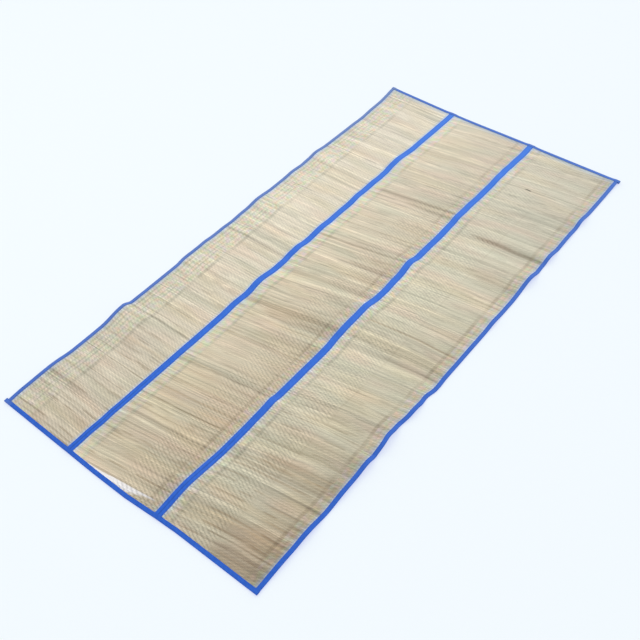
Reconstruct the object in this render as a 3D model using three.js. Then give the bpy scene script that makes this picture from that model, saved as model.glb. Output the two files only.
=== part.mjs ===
// Folding sleeping mat, opened out on the floor. Three strips of woven straw lie side by side.
// A cloth tape runs over and under each of the two joints between them, and the same tape,
// folded over, binds the four edges. Soft ridges cross the mat where it was folded before.
//
// Frame, in millimetres: origin at the middle of the mat, on the floor. +X runs across the mat
// from the left strip to the right one, +Y along it from the near end to the far end, +Z up.
//
// A point of the mat is given by three flat measures: across (x when it lies flat), along (the
// distance from the near end) and height over the mat's underside. place() turns them into the
// mat as it lies, so all pieces follow the same ridges and keep their gaps.

import * as THREE from 'three';

// Driving dimensions
const matWidth = 900;
const matLength = 1800;
const strawThickness = 2.2;
const tapeThickness = 0.7;
const clearance = 0.3;
const leftSeamAcross = -193;
const rightSeamAcross = 124;
const leftSeamTapeWidth = 20;
const rightSeamTapeWidth = 21;
const bindingWidth = 12;
const bindingTail = 5;
const stationSpacing = 34;

// Colours
const paleStraw = 0xd9cfb0;
const warmStraw = 0xc9b795;
const greyStraw = 0xc6bd9d;
const blueTape = 0x2f66dd;

// The lines along the mat that carry tape. reach is how far the tape covers on each side.
const lines = [
  { name: 'leftEdge', across: -matWidth / 2, reach: bindingWidth },
  { name: 'leftSeam', across: leftSeamAcross, reach: leftSeamTapeWidth / 2 },
  { name: 'rightSeam', across: rightSeamAcross, reach: rightSeamTapeWidth / 2 },
  { name: 'rightEdge', across: matWidth / 2, reach: bindingWidth },
];
const [leftEdge, leftSeam, rightSeam, rightEdge] = lines;

// The ridges, from the near end to the far end. at is where the crest stands along the mat,
// lean is how much farther along it is at the right edge than at the left one, near and far
// are how far the ridge spreads to each side, and the last four columns are how high it
// stands at each line.
const folds = [
  { at: 122, lean: -12, near: 120, far: 96, leftEdge: 7, leftSeam: 3, rightSeam: 13, rightEdge: 6 },
  { at: 190, lean: 0, near: 66, far: 80, leftEdge: 0, leftSeam: 0, rightSeam: 0, rightEdge: 8 },
  { at: 342, lean: 0, near: 84, far: 60, leftEdge: 0, leftSeam: 0, rightSeam: 0, rightEdge: 7 },
  { at: 432, lean: 0, near: 92, far: 34, leftEdge: 12, leftSeam: 1, rightSeam: 7, rightEdge: 13 },
  { at: 516, lean: 4, near: 84, far: 80, leftEdge: 0, leftSeam: 0, rightSeam: 0, rightEdge: 16 },
  { at: 636, lean: 0, near: 60, far: 58, leftEdge: 0, leftSeam: 0, rightSeam: 0, rightEdge: 8 },
  { at: 750, lean: 20, near: 64, far: 76, leftEdge: 6, leftSeam: 10, rightSeam: 10, rightEdge: 0 },
  { at: 848, lean: 0, near: 88, far: 62, leftEdge: 0, leftSeam: 0, rightSeam: 12, rightEdge: 0 },
  { at: 893, lean: 136, near: 52, far: 48, leftEdge: 0, leftSeam: 7, rightSeam: 0, rightEdge: 4 },
  { at: 1032, lean: 70, near: 60, far: 46, leftEdge: 6, leftSeam: 4, rightSeam: 10, rightEdge: 0 },
  { at: 1218, lean: 16, near: 60, far: 56, leftEdge: 3, leftSeam: 4, rightSeam: 1, rightEdge: 13 },
  { at: 1330, lean: 18, near: 36, far: 58, leftEdge: 5, leftSeam: 2, rightSeam: 6, rightEdge: 11 },
  { at: 1462, lean: 0, near: 64, far: 60, leftEdge: 0, leftSeam: 10, rightSeam: 0, rightEdge: 3 },
  { at: 1590, lean: -40, near: 36, far: 60, leftEdge: 0, leftSeam: 0, rightSeam: 6, rightEdge: 9 },
  { at: 1800, lean: 0, near: 130, far: 20, leftEdge: 4, leftSeam: 0, rightSeam: 1, rightEdge: 3 },
];

// How far each line strays to the right of its straight course at these places along the mat.
const strays = [
  { along: 0, leftEdge: 0, leftSeam: -1, rightSeam: 0, rightEdge: 0 },
  { along: 280, leftEdge: 2, leftSeam: -1, rightSeam: 1, rightEdge: 0 },
  { along: 430, leftEdge: 0, leftSeam: 0, rightSeam: 0, rightEdge: -1 },
  { along: 530, leftEdge: 1, leftSeam: 0, rightSeam: 1, rightEdge: -6 },
  { along: 650, leftEdge: 1, leftSeam: 0, rightSeam: 2, rightEdge: -2 },
  { along: 720, leftEdge: 0, leftSeam: 0, rightSeam: 0, rightEdge: 1 },
  { along: 1250, leftEdge: 1, leftSeam: 0, rightSeam: 0, rightEdge: 1 },
  { along: 1560, leftEdge: 7, leftSeam: 4, rightSeam: 1, rightEdge: 0 },
  { along: 1700, leftEdge: 6, leftSeam: 6, rightSeam: 2, rightEdge: 0 },
  { along: 1800, leftEdge: 0, leftSeam: 7, rightSeam: 4, rightEdge: 0 },
];

// How far the two short edges bulge outwards from the plain rectangle across the mat. They
// bend at the seams and at the places between them that have a row here.
const bulges = [
  { across: -matWidth / 2, near: 2, far: 0 },
  { across: leftSeamAcross, near: 7, far: 0 },
  { across: -92, near: 9, far: 1 },
  { across: 23, near: 9, far: 4 },
  { across: rightSeamAcross, near: 3, far: 6 },
  { across: 190, near: 0, far: 6 },
  { across: matWidth / 2, near: 0, far: 9 },
];

// One layer of tape with its gap to the next piece
const tapeLayer = tapeThickness + clearance;

// Heights over the mat's underside, where a tape runs over and under the straw
const strawTop = tapeLayer + strawThickness;
const tapeTop = strawTop + tapeLayer;

// Clear of the tapes the straw comes down to the floor over this distance
const strawDrop = 20;

// The mat is raised over the short bindings' lower halves, and comes down inside them
const endLiftFrom = 15;
const endLiftTo = 45;

const mix = (a, b, t) => a + (b - a) * t;
const share = (value, from, to) => THREE.MathUtils.clamp((value - from) / (to - from), 0, 1);

// Value of a row's four line columns at a place across the mat: constant over each tape,
// and straight from one tape to the next.
function acrossLines(row, across) {
  for (let i = 0; i < lines.length - 1; i++) {
    const from = lines[i].across + lines[i].reach + clearance;
    const to = lines[i + 1].across - lines[i + 1].reach - clearance;
    if (across <= to || i === lines.length - 2) {
      return mix(row[lines[i].name], row[lines[i + 1].name], share(across, from, to));
    }
  }
}

// Height of one ridge: a smooth swell from its foot on each side up to its crest
function ridge(fold, across, along) {
  const crest = fold.at + fold.lean * (across / matWidth + 0.5);
  const spread = along < crest ? fold.near : fold.far;
  const t = Math.min(Math.abs(along - crest) / spread, 1);
  return acrossLines(fold, across) * (1 + Math.cos(Math.PI * t)) / 2;
}

function endLift(along) {
  const fromEnd = Math.min(along, matLength - along);
  return tapeLayer * (1 - share(fromEnd, endLiftFrom, endLiftTo));
}

function rise(across, along) {
  const swell = folds.reduce((sum, fold) => sum + ridge(fold, across, along), 0);
  return swell + endLift(along);
}

// The two rows of a table between which a value of its key column lies
function rowsAround(table, key, value) {
  const next = table.findIndex((row) => row[key] > value);
  const i = next < 0 ? table.length - 1 : Math.max(next, 1);
  return [table[i - 1], table[i]];
}

function stray(across, along) {
  const [before, after] = rowsAround(strays, 'along', along);
  const t = THREE.MathUtils.smoothstep(along, before.along, after.along);
  return mix(acrossLines(before, across), acrossLines(after, across), t);
}

function bulge(across, column) {
  const [before, after] = rowsAround(bulges, 'across', across);
  return mix(before[column], after[column], share(across, before.across, after.across));
}

// Point of the mat's underside
function underside(across, along) {
  const near = -matLength / 2 - bulge(across, 'near');
  const far = matLength / 2 + bulge(across, 'far');
  const x = across + stray(across, along);
  return new THREE.Vector3(x, mix(near, far, along / matLength), rise(across, along));
}

// Point at a height over the underside, square to the mat there
function place(across, along, height) {
  const step = 0.5;
  const sideways = underside(across + step, along).sub(underside(across - step, along));
  const lengthways = underside(across, along + step).sub(underside(across, along - step));
  const up = sideways.cross(lengthways).normalize();
  return underside(across, along).addScaledVector(up, height);
}

// Closed body through a row of rings of points. cells are the ring's convex areas, as lists of
// its point numbers, and close both ends. Each four-sided face is cut from its near left corner
// to its far right one, above as below, so that a twisted layer keeps its thickness.
function bodyThrough(rings, cells) {
  const size = rings[0].length;
  const points = rings.flat();
  const triangles = [];
  for (let ring = 0; ring < rings.length - 1; ring++) {
    for (let i = 0; i < size; i++) {
      const a = ring * size + i;
      const b = ring * size + (i + 1) % size;
      if (points[b].x + points[b].y > points[a].x + points[a].y) {
        triangles.push([a, b, b + size], [a, b + size, a + size]);
      } else {
        triangles.push([a, b, a + size], [b, b + size, a + size]);
      }
    }
  }
  const last = (rings.length - 1) * size;
  for (const cell of cells) {
    for (let i = 1; i < cell.length - 1; i++) {
      const [a, b, c] = [cell[0], cell[i], cell[i + 1]];
      triangles.push([a, c, b], [last + a, last + b, last + c]);
    }
  }
  const inwards = enclosedVolume(points, triangles) < 0;
  const outwards = inwards ? triangles.map(([a, b, c]) => [a, c, b]) : triangles;
  const geometry = new THREE.BufferGeometry().setFromPoints(points);
  geometry.setIndex(outwards.flat());
  geometry.computeVertexNormals();
  return geometry;
}

function enclosedVolume(points, triangles) {
  const normal = new THREE.Vector3();
  let sixfold = 0;
  for (const [a, b, c] of triangles) {
    sixfold += points[a].dot(normal.crossVectors(points[b], points[c]));
  }
  return sixfold / 6;
}

// Places along the mat where the long pieces have a section: close at the ends, even between
function stationsAlong() {
  const evenLength = matLength - 2 * endLiftTo;
  const count = Math.round(evenLength / stationSpacing);
  const even = Array.from({ length: count + 1 }, (_, i) => endLiftTo + evenLength * i / count);
  return [tapeLayer, endLiftFrom, ...even, matLength - endLiftFrom, matLength - tapeLayer];
}

// A long piece: its section, as [across, height] points, swept along the mat
function sweptAlong(section, cells) {
  const rings = stationsAlong().map((along) =>
    section.map(([across, height]) => place(across, along, height)));
  return bodyThrough(rings, cells);
}

// Places between two lines where the short edges bend
function bendsBetween(leftLine, rightLine) {
  const places = bulges.map((row) => row.across);
  return places.filter((across) => across > leftLine.across && across < rightLine.across);
}

// Woven strip: a thin sheet that lies on the floor and rises over the tapes' lower halves
function strip(leftLine, rightLine) {
  const leftGap = leftLine === leftEdge ? tapeLayer : tapeThickness / 2 + clearance;
  const rightGap = rightLine === rightEdge ? tapeLayer : tapeThickness / 2 + clearance;
  const leftTapeEnd = leftLine.across + leftLine.reach + clearance;
  const rightTapeEnd = rightLine.across - rightLine.reach - clearance;
  const columns = [
    [leftLine.across + leftGap, tapeLayer],
    [leftTapeEnd, tapeLayer],
    [leftTapeEnd + strawDrop, 0],
    ...bendsBetween(leftLine, rightLine).map((across) => [across, 0]),
    [rightTapeEnd - strawDrop, 0],
    [rightTapeEnd, tapeLayer],
    [rightLine.across - rightGap, tapeLayer],
  ];
  const top = columns.map(([across, height]) => [across, height + strawThickness]).reverse();
  const end = 2 * columns.length - 1;
  const cells = columns.slice(1).map((_, i) => [i, i + 1, end - i - 1, end - i]);
  return sweptAlong([...columns, ...top], cells);
}

// Tape over a joint: a half on top and a half below, sewn together through the joint
function seamTape(line) {
  const left = line.across - line.reach;
  const right = line.across + line.reach;
  const jointLeft = line.across - tapeThickness / 2;
  const jointRight = line.across + tapeThickness / 2;
  const upperHalfFrom = tapeTop - tapeThickness;
  const section = [
    [left, 0],
    [right, 0],
    [right, tapeThickness],
    [jointRight, tapeThickness],
    [jointRight, upperHalfFrom],
    [right, upperHalfFrom],
    [right, tapeTop],
    [left, tapeTop],
    [left, upperHalfFrom],
    [jointLeft, upperHalfFrom],
    [jointLeft, tapeThickness],
    [left, tapeThickness],
  ];
  const lowerHalf = [0, 1, 2, 3, 10, 11];
  const joint = [10, 3, 4, 9];
  const upperHalf = [7, 8, 9, 4, 5, 6];
  return sweptAlong(section, [lowerHalf, joint, upperHalf]);
}

// Section of a folded binding, as [distance in from the edge, height] points, around a layer
// between two heights. Its cells are the lower half, the fold and the upper half.
const bindingCells = [[0, 1, 2, 3], [0, 3, 4, 7], [4, 5, 6, 7]];

function bindingSection(bottom, top) {
  return [
    [0, bottom],
    [bindingWidth, bottom],
    [bindingWidth, bottom + tapeThickness],
    [tapeThickness, bottom + tapeThickness],
    [tapeThickness, top - tapeThickness],
    [bindingWidth, top - tapeThickness],
    [bindingWidth, top],
    [0, top],
  ];
}

// Binding of a long edge. inwards is 1 at the left edge and -1 at the right one.
function sideBinding(line, inwards) {
  const section = bindingSection(0, tapeTop);
  const points = section.map(([distance, height]) => [line.across + inwards * distance, height]);
  return sweptAlong(points, bindingCells);
}

// Rows across the mat for a short edge's binding: how high the layers under it stand. It is
// highest over the tapes and side bindings, and comes down to the straw beside them.
function endBindingRows(leftTail, rightTail) {
  const slope = 4;
  const rows = [
    { across: leftEdge.across - leftTail, layers: tapeTop },
    { across: rightEdge.across + rightTail, layers: tapeTop },
  ];
  for (const line of lines) {
    const tapeEnd = line.reach + clearance;
    const innerSides = [-1, 1].filter((side) => Math.abs(line.across + side) < matWidth / 2);
    for (const side of innerSides) {
      rows.push({ across: line.across + side * tapeEnd, layers: tapeTop });
      rows.push({ across: line.across + side * (tapeEnd + slope), layers: strawTop });
      rows.push({ across: line.across + side * (tapeEnd + strawDrop), layers: strawThickness });
    }
  }
  for (let i = 0; i < lines.length - 1; i++) {
    const bends = bendsBetween(lines[i], lines[i + 1]);
    rows.push(...bends.map((across) => ({ across, layers: strawThickness })));
  }
  return rows.sort((a, b) => a.across - b.across);
}

// Binding of a short edge, folded over the ends of the strips and the other tapes. edge is the
// edge's place along the mat and inwards is 1 at the near end and -1 at the far one.
function endBinding(edge, inwards, leftTail, rightTail) {
  const rings = endBindingRows(leftTail, rightTail).map(({ across, layers }) => {
    const section = bindingSection(-tapeLayer, layers + tapeLayer);
    return section.map(([distance, height]) => place(across, edge + inwards * distance, height));
  });
  return bodyThrough(rings, bindingCells);
}

const straw = (color) => new THREE.MeshStandardMaterial({ color, roughness: 0.7, metalness: 0 });
const cloth = () => new THREE.MeshStandardMaterial({ color: blueTape, roughness: 0.85, metalness: 0 });

const mat = new THREE.Group();

function add(name, geometry, material) {
  const mesh = new THREE.Mesh(geometry, material);
  mesh.name = name;
  mat.add(mesh);
}

add('strip_left', strip(leftEdge, leftSeam), straw(paleStraw));
add('strip_middle', strip(leftSeam, rightSeam), straw(warmStraw));
add('strip_right', strip(rightSeam, rightEdge), straw(greyStraw));
add('seam_tape_left', seamTape(leftSeam), cloth());
add('seam_tape_right', seamTape(rightSeam), cloth());
add('binding_side_left', sideBinding(leftEdge, 1), cloth());
add('binding_side_right', sideBinding(rightEdge, -1), cloth());
add('binding_end_near', endBinding(0, 1, bindingTail, 0), cloth());
add('binding_end_far', endBinding(matLength, -1, 0, bindingTail), cloth());

export default mat;
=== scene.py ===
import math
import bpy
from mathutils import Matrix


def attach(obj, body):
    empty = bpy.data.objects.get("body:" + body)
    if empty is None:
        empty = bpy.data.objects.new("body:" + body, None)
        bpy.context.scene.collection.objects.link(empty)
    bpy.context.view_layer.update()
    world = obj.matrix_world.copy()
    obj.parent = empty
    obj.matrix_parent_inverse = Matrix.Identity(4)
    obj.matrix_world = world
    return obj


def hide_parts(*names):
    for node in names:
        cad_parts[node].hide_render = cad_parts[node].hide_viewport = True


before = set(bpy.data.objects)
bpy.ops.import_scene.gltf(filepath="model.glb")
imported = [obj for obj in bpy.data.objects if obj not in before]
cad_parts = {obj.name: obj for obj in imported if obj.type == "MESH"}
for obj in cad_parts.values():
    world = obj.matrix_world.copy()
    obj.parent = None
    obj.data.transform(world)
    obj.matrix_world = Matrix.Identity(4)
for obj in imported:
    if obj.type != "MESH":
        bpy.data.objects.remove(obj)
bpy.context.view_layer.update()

# Folding sleeping mat of woven straw, opened out on the floor.
#
# Three strips of straw lie side by side. The straws run across each strip. A cloth tape is sewn
# over and under each of the two joints, and the same tape, folded over, binds the four edges.
#
# The frame holds plain solids of these pieces. The operators below make the woven, sewn pieces
# that stand for them. X runs across the mat, Y along it from the near end to the far end.
# The making functions work in millimetres, and a mesh is turned into metres when it is made.

from types import SimpleNamespace

import bmesh
import bpy
import numpy as np
from mathutils import Matrix, Vector

bl_info = {
    "name": "Folding Sleeping Mat",
    "version": (1, 0, 0),
    "blender": (4, 5, 0),
    "location": "View3D > Sidebar > Sleeping Mat",
    "description": "Weaves and sews a folding straw mat over its plain solids",
    "category": "Object",
}

MM = 0.001


# ---------------------------------------------------------------- the mat as it lies

MAT_WIDTH = 900
MAT_LENGTH = 1800
STRAW_THICKNESS = 2.2
TAPE_THICKNESS = 0.7
CLEARANCE = 0.3
TAPE_LAYER = TAPE_THICKNESS + CLEARANCE
STRAW_TOP = TAPE_LAYER + STRAW_THICKNESS
TAPE_TOP = STRAW_TOP + TAPE_LAYER
BINDING_WIDTH = 12

# How far one tip of each short edge's tape stands out past the side
BINDING_TAIL = 5

# The straw lies on the lower halves of the tapes. It is down on the floor this far beside them.
STRAW_DROP = 20

# The mat's two ends lie on the short edges' tapes. It starts to come down this far from its end,
# and is down on the floor this far from it.
END_LIFT_FROM = 15
END_LIFT_TO = 45


def table(columns, *rows):
    """Rows of a short table, each with its columns by name."""
    return [dict(zip(columns, row)) for row in rows]


# The lines along the mat that carry tape. reach is how far the tape covers on each side.
LINES = table(
    ("name", "across", "reach"),
    ("left_edge", -450, BINDING_WIDTH),
    ("left_seam", -193, 10),
    ("right_seam", 124, 10.5),
    ("right_edge", 450, BINDING_WIDTH),
)
LINE = {line["name"]: line for line in LINES}

# The ridges, from the near end to the far end. at is where the crest stands along the mat, lean
# is how much farther along it is at the right edge than at the left one, near and far are how
# far it spreads to each side, and the last four columns are its height at each line.
FOLDS = table(
    ("at", "lean", "near", "far", "left_edge", "left_seam", "right_seam", "right_edge"),
    (122, -12, 120, 96, 7, 3, 13, 6),
    (190, 0, 66, 80, 0, 0, 0, 8),
    (342, 0, 84, 60, 0, 0, 0, 7),
    (432, 0, 92, 34, 12, 1, 7, 13),
    (516, 4, 84, 80, 0, 0, 0, 16),
    (636, 0, 60, 58, 0, 0, 0, 8),
    (750, 20, 64, 76, 6, 10, 10, 0),
    (848, 0, 88, 62, 0, 0, 12, 0),
    (893, 136, 52, 48, 0, 7, 0, 4),
    (1032, 70, 60, 46, 6, 4, 10, 0),
    (1218, 16, 60, 56, 3, 4, 1, 13),
    (1330, 18, 36, 58, 5, 2, 6, 11),
    (1462, 0, 64, 60, 0, 10, 0, 3),
    (1590, -40, 36, 60, 0, 0, 6, 9),
    (1800, 0, 130, 20, 4, 0, 1, 3),
)

# How far each line strays to the right of its straight course at these places along the mat
STRAYS = table(
    ("along", "left_edge", "left_seam", "right_seam", "right_edge"),
    (0, 0, -1, 0, 0),
    (280, 2, -1, 1, 0),
    (430, 0, 0, 0, -1),
    (530, 1, 0, 1, -6),
    (650, 1, 0, 2, -2),
    (720, 0, 0, 0, 1),
    (1250, 1, 0, 0, 1),
    (1560, 7, 4, 1, 0),
    (1700, 6, 6, 2, 0),
    (1800, 0, 7, 4, 0),
)

# Small jogs of the lines: where along the mat each is, how far it spreads to each side, and how
# far it shifts the line to the right
JOGS = table(
    ("line", "at", "spread", "shift"),
    ("left_edge", 45, 50, -2.0),
    ("left_edge", 180, 60, -3.0),
    ("left_edge", 690, 40, -3.6),
    ("left_edge", 750, 40, 2.6),
    ("left_edge", 905, 45, 2.0),
    ("left_edge", 1070, 30, -2.0),
    ("left_edge", 1245, 50, 2.7),
    ("left_edge", 1590, 60, 2.2),
    ("left_seam", 120, 50, 2.1),
    ("left_seam", 645, 60, -2.8),
    ("left_seam", 895, 28, -2.2),
    ("left_seam", 1205, 50, 3.0),
    ("left_seam", 1350, 45, 2.0),
    ("left_seam", 1420, 28, -2.0),
    ("left_seam", 1510, 45, -2.8),
    ("right_seam", 190, 60, -2.3),
    ("right_seam", 407, 50, 1.9),
    ("right_seam", 713, 34, -1.8),
    ("right_seam", 945, 60, 2.2),
    ("right_seam", 1080, 45, -1.7),
    ("right_seam", 1230, 70, 2.0),
    ("right_seam", 1410, 60, -2.4),
    ("right_seam", 1560, 40, 2.2),
    ("right_seam", 1632, 35, -1.8),
    ("right_seam", 1735, 55, 2.0),
    ("right_edge", 500, 40, 2.6),
    ("right_edge", 582, 40, -3.8),
    ("right_edge", 697, 34, -4.3),
    ("right_edge", 745, 40, 1.6),
    ("right_edge", 1190, 60, -2.2),
    ("right_edge", 1310, 45, -1.8),
)

# How far the two short edges bulge out of a plain rectangle, at places across the mat
BULGES = table(
    ("across", "near", "far"),
    (-450, 2, 0),
    (-193, 7, 0),
    (-92, 9, 1),
    (23, 9, 4),
    (124, 3, 6),
    (190, 0, 6),
    (450, 0, 9),
)


def share(value, start, end):
    """How far a value has come from start to end, from 0 to 1."""
    return np.clip((value - start) / (end - start), 0, 1)


def smooth(t):
    """Eases a share in and out."""
    return t * t * (3 - 2 * t)


def swell(distance, spread):
    """A smooth swell: 1 at no distance, 0 from its spread on."""
    return (1 + np.cos(np.pi * np.minimum(np.abs(distance) / spread, 1))) / 2


def column(rows, name):
    return [row[name] for row in rows]


def follow(rows, by, spot, name):
    """A column's value at a spot, straight between the rows. by is the column of their spots."""
    return np.interp(spot, column(rows, by), column(rows, name))


LINE_SIDES = [
    line["across"] + side * (line["reach"] + CLEARANCE) for line in LINES for side in (-1, 1)
]


def at_lines(row, across):
    """A row's value across the mat: constant over each tape, straight between the tapes."""
    values = [row[line["name"]] for line in LINES for _ in (-1, 1)]
    return np.interp(across, LINE_SIDES, values)


def ridge(fold, across, along):
    """Height of one ridge: a smooth swell from its foot on each side up to its crest."""
    crest = fold["at"] + fold["lean"] * (across / MAT_WIDTH + 0.5)
    spread = np.where(along < crest, fold["near"], fold["far"])
    return at_lines(fold, across) * swell(along - crest, spread)


def rise(across, along):
    """Height of the mat's underside over the floor."""
    from_end = np.minimum(along, MAT_LENGTH - along)
    lift = TAPE_LAYER * (1 - share(from_end, END_LIFT_FROM, END_LIFT_TO))
    return lift + sum(ridge(fold, across, along) for fold in FOLDS)


def jog(across, along):
    """How far the small jogs shift a point to the right."""
    total = np.zeros(len(across))
    for row in JOGS:
        shifts = {line["name"]: row["shift"] * (line["name"] == row["line"]) for line in LINES}
        total += at_lines(shifts, across) * swell(along - row["at"], row["spread"])
    return total


def stray(across, along):
    """How far a point lies to the right of its straight course."""
    stations = np.array(column(STRAYS, "along"), float)
    later = np.clip(np.searchsorted(stations, along, side="right"), 1, len(STRAYS) - 1)
    courses = np.stack([at_lines(row, across) for row in STRAYS])
    here = np.arange(len(along))
    t = smooth(share(along, stations[later - 1], stations[later]))
    return courses[later - 1, here] * (1 - t) + courses[later, here] * t + jog(across, along)


def underside(across, along):
    """Points of the mat's underside, one row each."""
    near = -MAT_LENGTH / 2 - follow(BULGES, "across", across, "near")
    far = MAT_LENGTH / 2 + follow(BULGES, "across", across, "far")
    y = near + (far - near) * along / MAT_LENGTH
    return np.stack([across + stray(across, along), y, rise(across, along)], axis=1)


def unit(vectors):
    return vectors / np.linalg.norm(vectors, axis=1, keepdims=True)


def lie(across, along):
    """Points of the underside, with the mat's sideways, lengthways and upward directions."""
    step = 0.5
    sideways = unit(underside(across + step, along) - underside(across - step, along))
    lengthways = unit(underside(across, along + step) - underside(across, along - step))
    up = unit(np.cross(sideways, lengthways))
    return underside(across, along), sideways, lengthways, up


def place(across, along, height):
    """Points at a height over the underside, square to the mat there."""
    points, _, _, up = lie(across, along)
    return points + up * height[:, None]


# ---------------------------------------------------------------- sizes and colours


def length_property(label, about, metres):
    return bpy.props.FloatProperty(name=label, description=about, default=metres, unit="LENGTH")


def angle_property(label, about, degrees):
    return bpy.props.FloatProperty(
        name=label, description=about, default=math.radians(degrees), subtype="ANGLE"
    )


def colour_property(label, about, colour):
    return bpy.props.FloatVectorProperty(
        name=label, description=about, default=colour, size=3, min=0, max=1, subtype="COLOR"
    )


class MatSizes(bpy.types.PropertyGroup):
    """Sizes of the straw, the tape and the sewing."""

    straw_width: length_property(
        "Straw Width", "Mean width of a straw, and so how close the rows lie", 0.0025
    )
    straw_relief: length_property("Straw Relief", "Depth of the valley between two straws", 0.0006)
    tape_step: length_property("Tape Step", "Distance between two sections along a tape", 0.0042)
    pucker: length_property("Pucker", "How far the sewn tape swells between its stitches", 0.00025)
    stitch_length: length_property("Stitch Length", "Length of a stitch that shows", 0.0034)
    stitch_pitch: length_property("Stitch Pitch", "Distance from one stitch to the next", 0.0042)
    thread_width: length_property("Thread Width", "Thickness of the sewing thread", 0.0005)


class MatColours(bpy.types.PropertyGroup):
    """Colours of the straw, the tape and the floor."""

    straw_pale: colour_property("Pale Straw", "The left strip's straw", (0.73, 0.66, 0.515))
    straw_warm: colour_property("Warm Straw", "The middle strip's straw", (0.66, 0.577, 0.422))
    straw_grey: colour_property("Grey Straw", "The right strip's straw", (0.608, 0.562, 0.42))
    straw_green: colour_property("Green Straw", "Straws cut green", (0.52, 0.53, 0.39))
    straw_brown: colour_property("Brown Straw", "Straws cut late", (0.42, 0.26, 0.11))
    straw_cream: colour_property("Cream Straw", "Straws cut ripe", (0.71, 0.60, 0.38))
    straw_rosy: colour_property("Rosy Straw", "Straws with a reddish skin", (0.70, 0.53, 0.40))
    straw_ends: colour_property("Straw Ends", "Turned-in ends of the straws", (0.735, 0.705, 0.535))
    # Painted light: the straw takes on this paler colour towards the far end
    straw_bleached: colour_property("Bleached Straw", "Straw far along", (0.70, 0.645, 0.60))
    fleck_green: colour_property("Green Fleck", "Flecks beside the tapes", (0.49, 0.63, 0.35))
    fleck_pink: colour_property("Pink Fleck", "Flecks beside the tapes", (0.78, 0.51, 0.50))
    fleck_orange: colour_property("Orange Fleck", "Flecks beside the tapes", (0.76, 0.52, 0.27))
    fleck_lilac: colour_property("Lilac Fleck", "Flecks beside the tapes", (0.57, 0.54, 0.62))
    # Painted blue light, bounced from the tapes onto the straw beside them
    straw_rim: colour_property("Straw Rim", "Straw that the tapes have dyed", (0.36, 0.51, 0.68))
    # Whitish straw beside the tapes, and the painted highlight on the shiny straws
    straw_worn: colour_property("Worn Straw", "Straw worn smooth and pale", (0.86, 0.84, 0.86))
    tape: colour_property("Tape", "The cloth tape", (0.013, 0.106, 0.55))
    # Painted light: the tape and the bindings take on these lighter colours towards the far end
    tape_faded: colour_property("Far-Lit Tape", "The tape far along", (0.08, 0.26, 0.85))
    binding_faded: colour_property("Far-Lit Binding", "The edges' tape far along", (0.115, 0.24, 0.66))
    # Painted light on the tape's swells, and its random mottling, in a lighter blue
    tape_swell_light_and_mottle: colour_property("Tape Swell Light And Mottle", "Lighter blue: painted light on the tape's swells, its mottling and the thread's twist", (0.026, 0.145, 0.68))
    tape_rubbed: colour_property("Rubbed Tape", "The tape of the left edge", (0.32, 0.40, 0.49))
    thread: colour_property("Thread", "The sewing thread", (0.02, 0.10, 0.52))
    floor: colour_property("Floor", "The floor under the mat", (0.37, 0.40, 0.18))
    floor_glow: colour_property("Floor Glow", "Light from under the floor", (0.49, 0.515, 0.786))


class StudioSettings(bpy.types.PropertyGroup):
    """Camera and lights."""

    lens: bpy.props.FloatProperty(
        name="Lens", description="Focal length of the camera", default=51.45, subtype="DISTANCE_CAMERA"
    )
    aim: bpy.props.FloatVectorProperty(
        name="Aim",
        description="Point of the floor that the camera looks at",
        default=(0.0424, -0.1549, 0),
        subtype="TRANSLATION",
        unit="LENGTH",
    )
    distance: length_property("Distance", "From the camera to its aim", 2.64)
    heading: angle_property(
        "Heading", "How far the camera looks to the right of straight along the mat", -40.22
    )
    dip: angle_property("Dip", "How far the camera looks down", 48.62)
    roll: angle_property("Roll", "How far the camera is turned about its view", -2.298)
    key_strength: bpy.props.FloatProperty(
        name="Key Strength", description="Strength of the wide soft light", default=1.1
    )
    lamp_power: bpy.props.FloatProperty(
        name="Lamp Power",
        description="Power of the small lamp that makes the straw shine",
        default=4.5,
        subtype="POWER",
    )
    room_light: bpy.props.FloatProperty(
        name="Room Light", description="Strength of the light from all round", default=0.79
    )


# ---------------------------------------------------------------- finishes


class Value:
    """A material's socket, with the arithmetic that adds Math nodes."""

    def __init__(self, finish, socket):
        self.finish = finish
        self.socket = socket

    def math(self, operation, *others):
        return self.finish.value("ShaderNodeMath", {"operation": operation}, self, *others)

    def __add__(self, other):
        return self.math("ADD", other)

    def __radd__(self, other):
        return self.math("ADD", other)

    def __sub__(self, other):
        return self.math("SUBTRACT", other)

    def __rsub__(self, other):
        return self.finish.value("ShaderNodeMath", {"operation": "SUBTRACT"}, other, self)

    def __mul__(self, other):
        return self.math("MULTIPLY", other)

    def __rmul__(self, other):
        return self.math("MULTIPLY", other)

    def __truediv__(self, other):
        return self.math("DIVIDE", other)

    def __pow__(self, other):
        return self.math("POWER", other)

    def limited(self):
        """The value kept between 0 and 1."""
        return self.math("MINIMUM", 1).math("MAXIMUM", 0)

    def ramp(self, start, end):
        """0 before start, 1 after end, eased between. start may be the greater one."""
        t = ((self - start) * (1 / (end - start))).limited()
        return t * t * (3 - 2 * t)

    def ridge(self):
        """1 at the middle of each whole step of the value, 0 at its two ends."""
        return 1 - (self.math("FRACT") * 2 - 1).math("ABSOLUTE")


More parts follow.
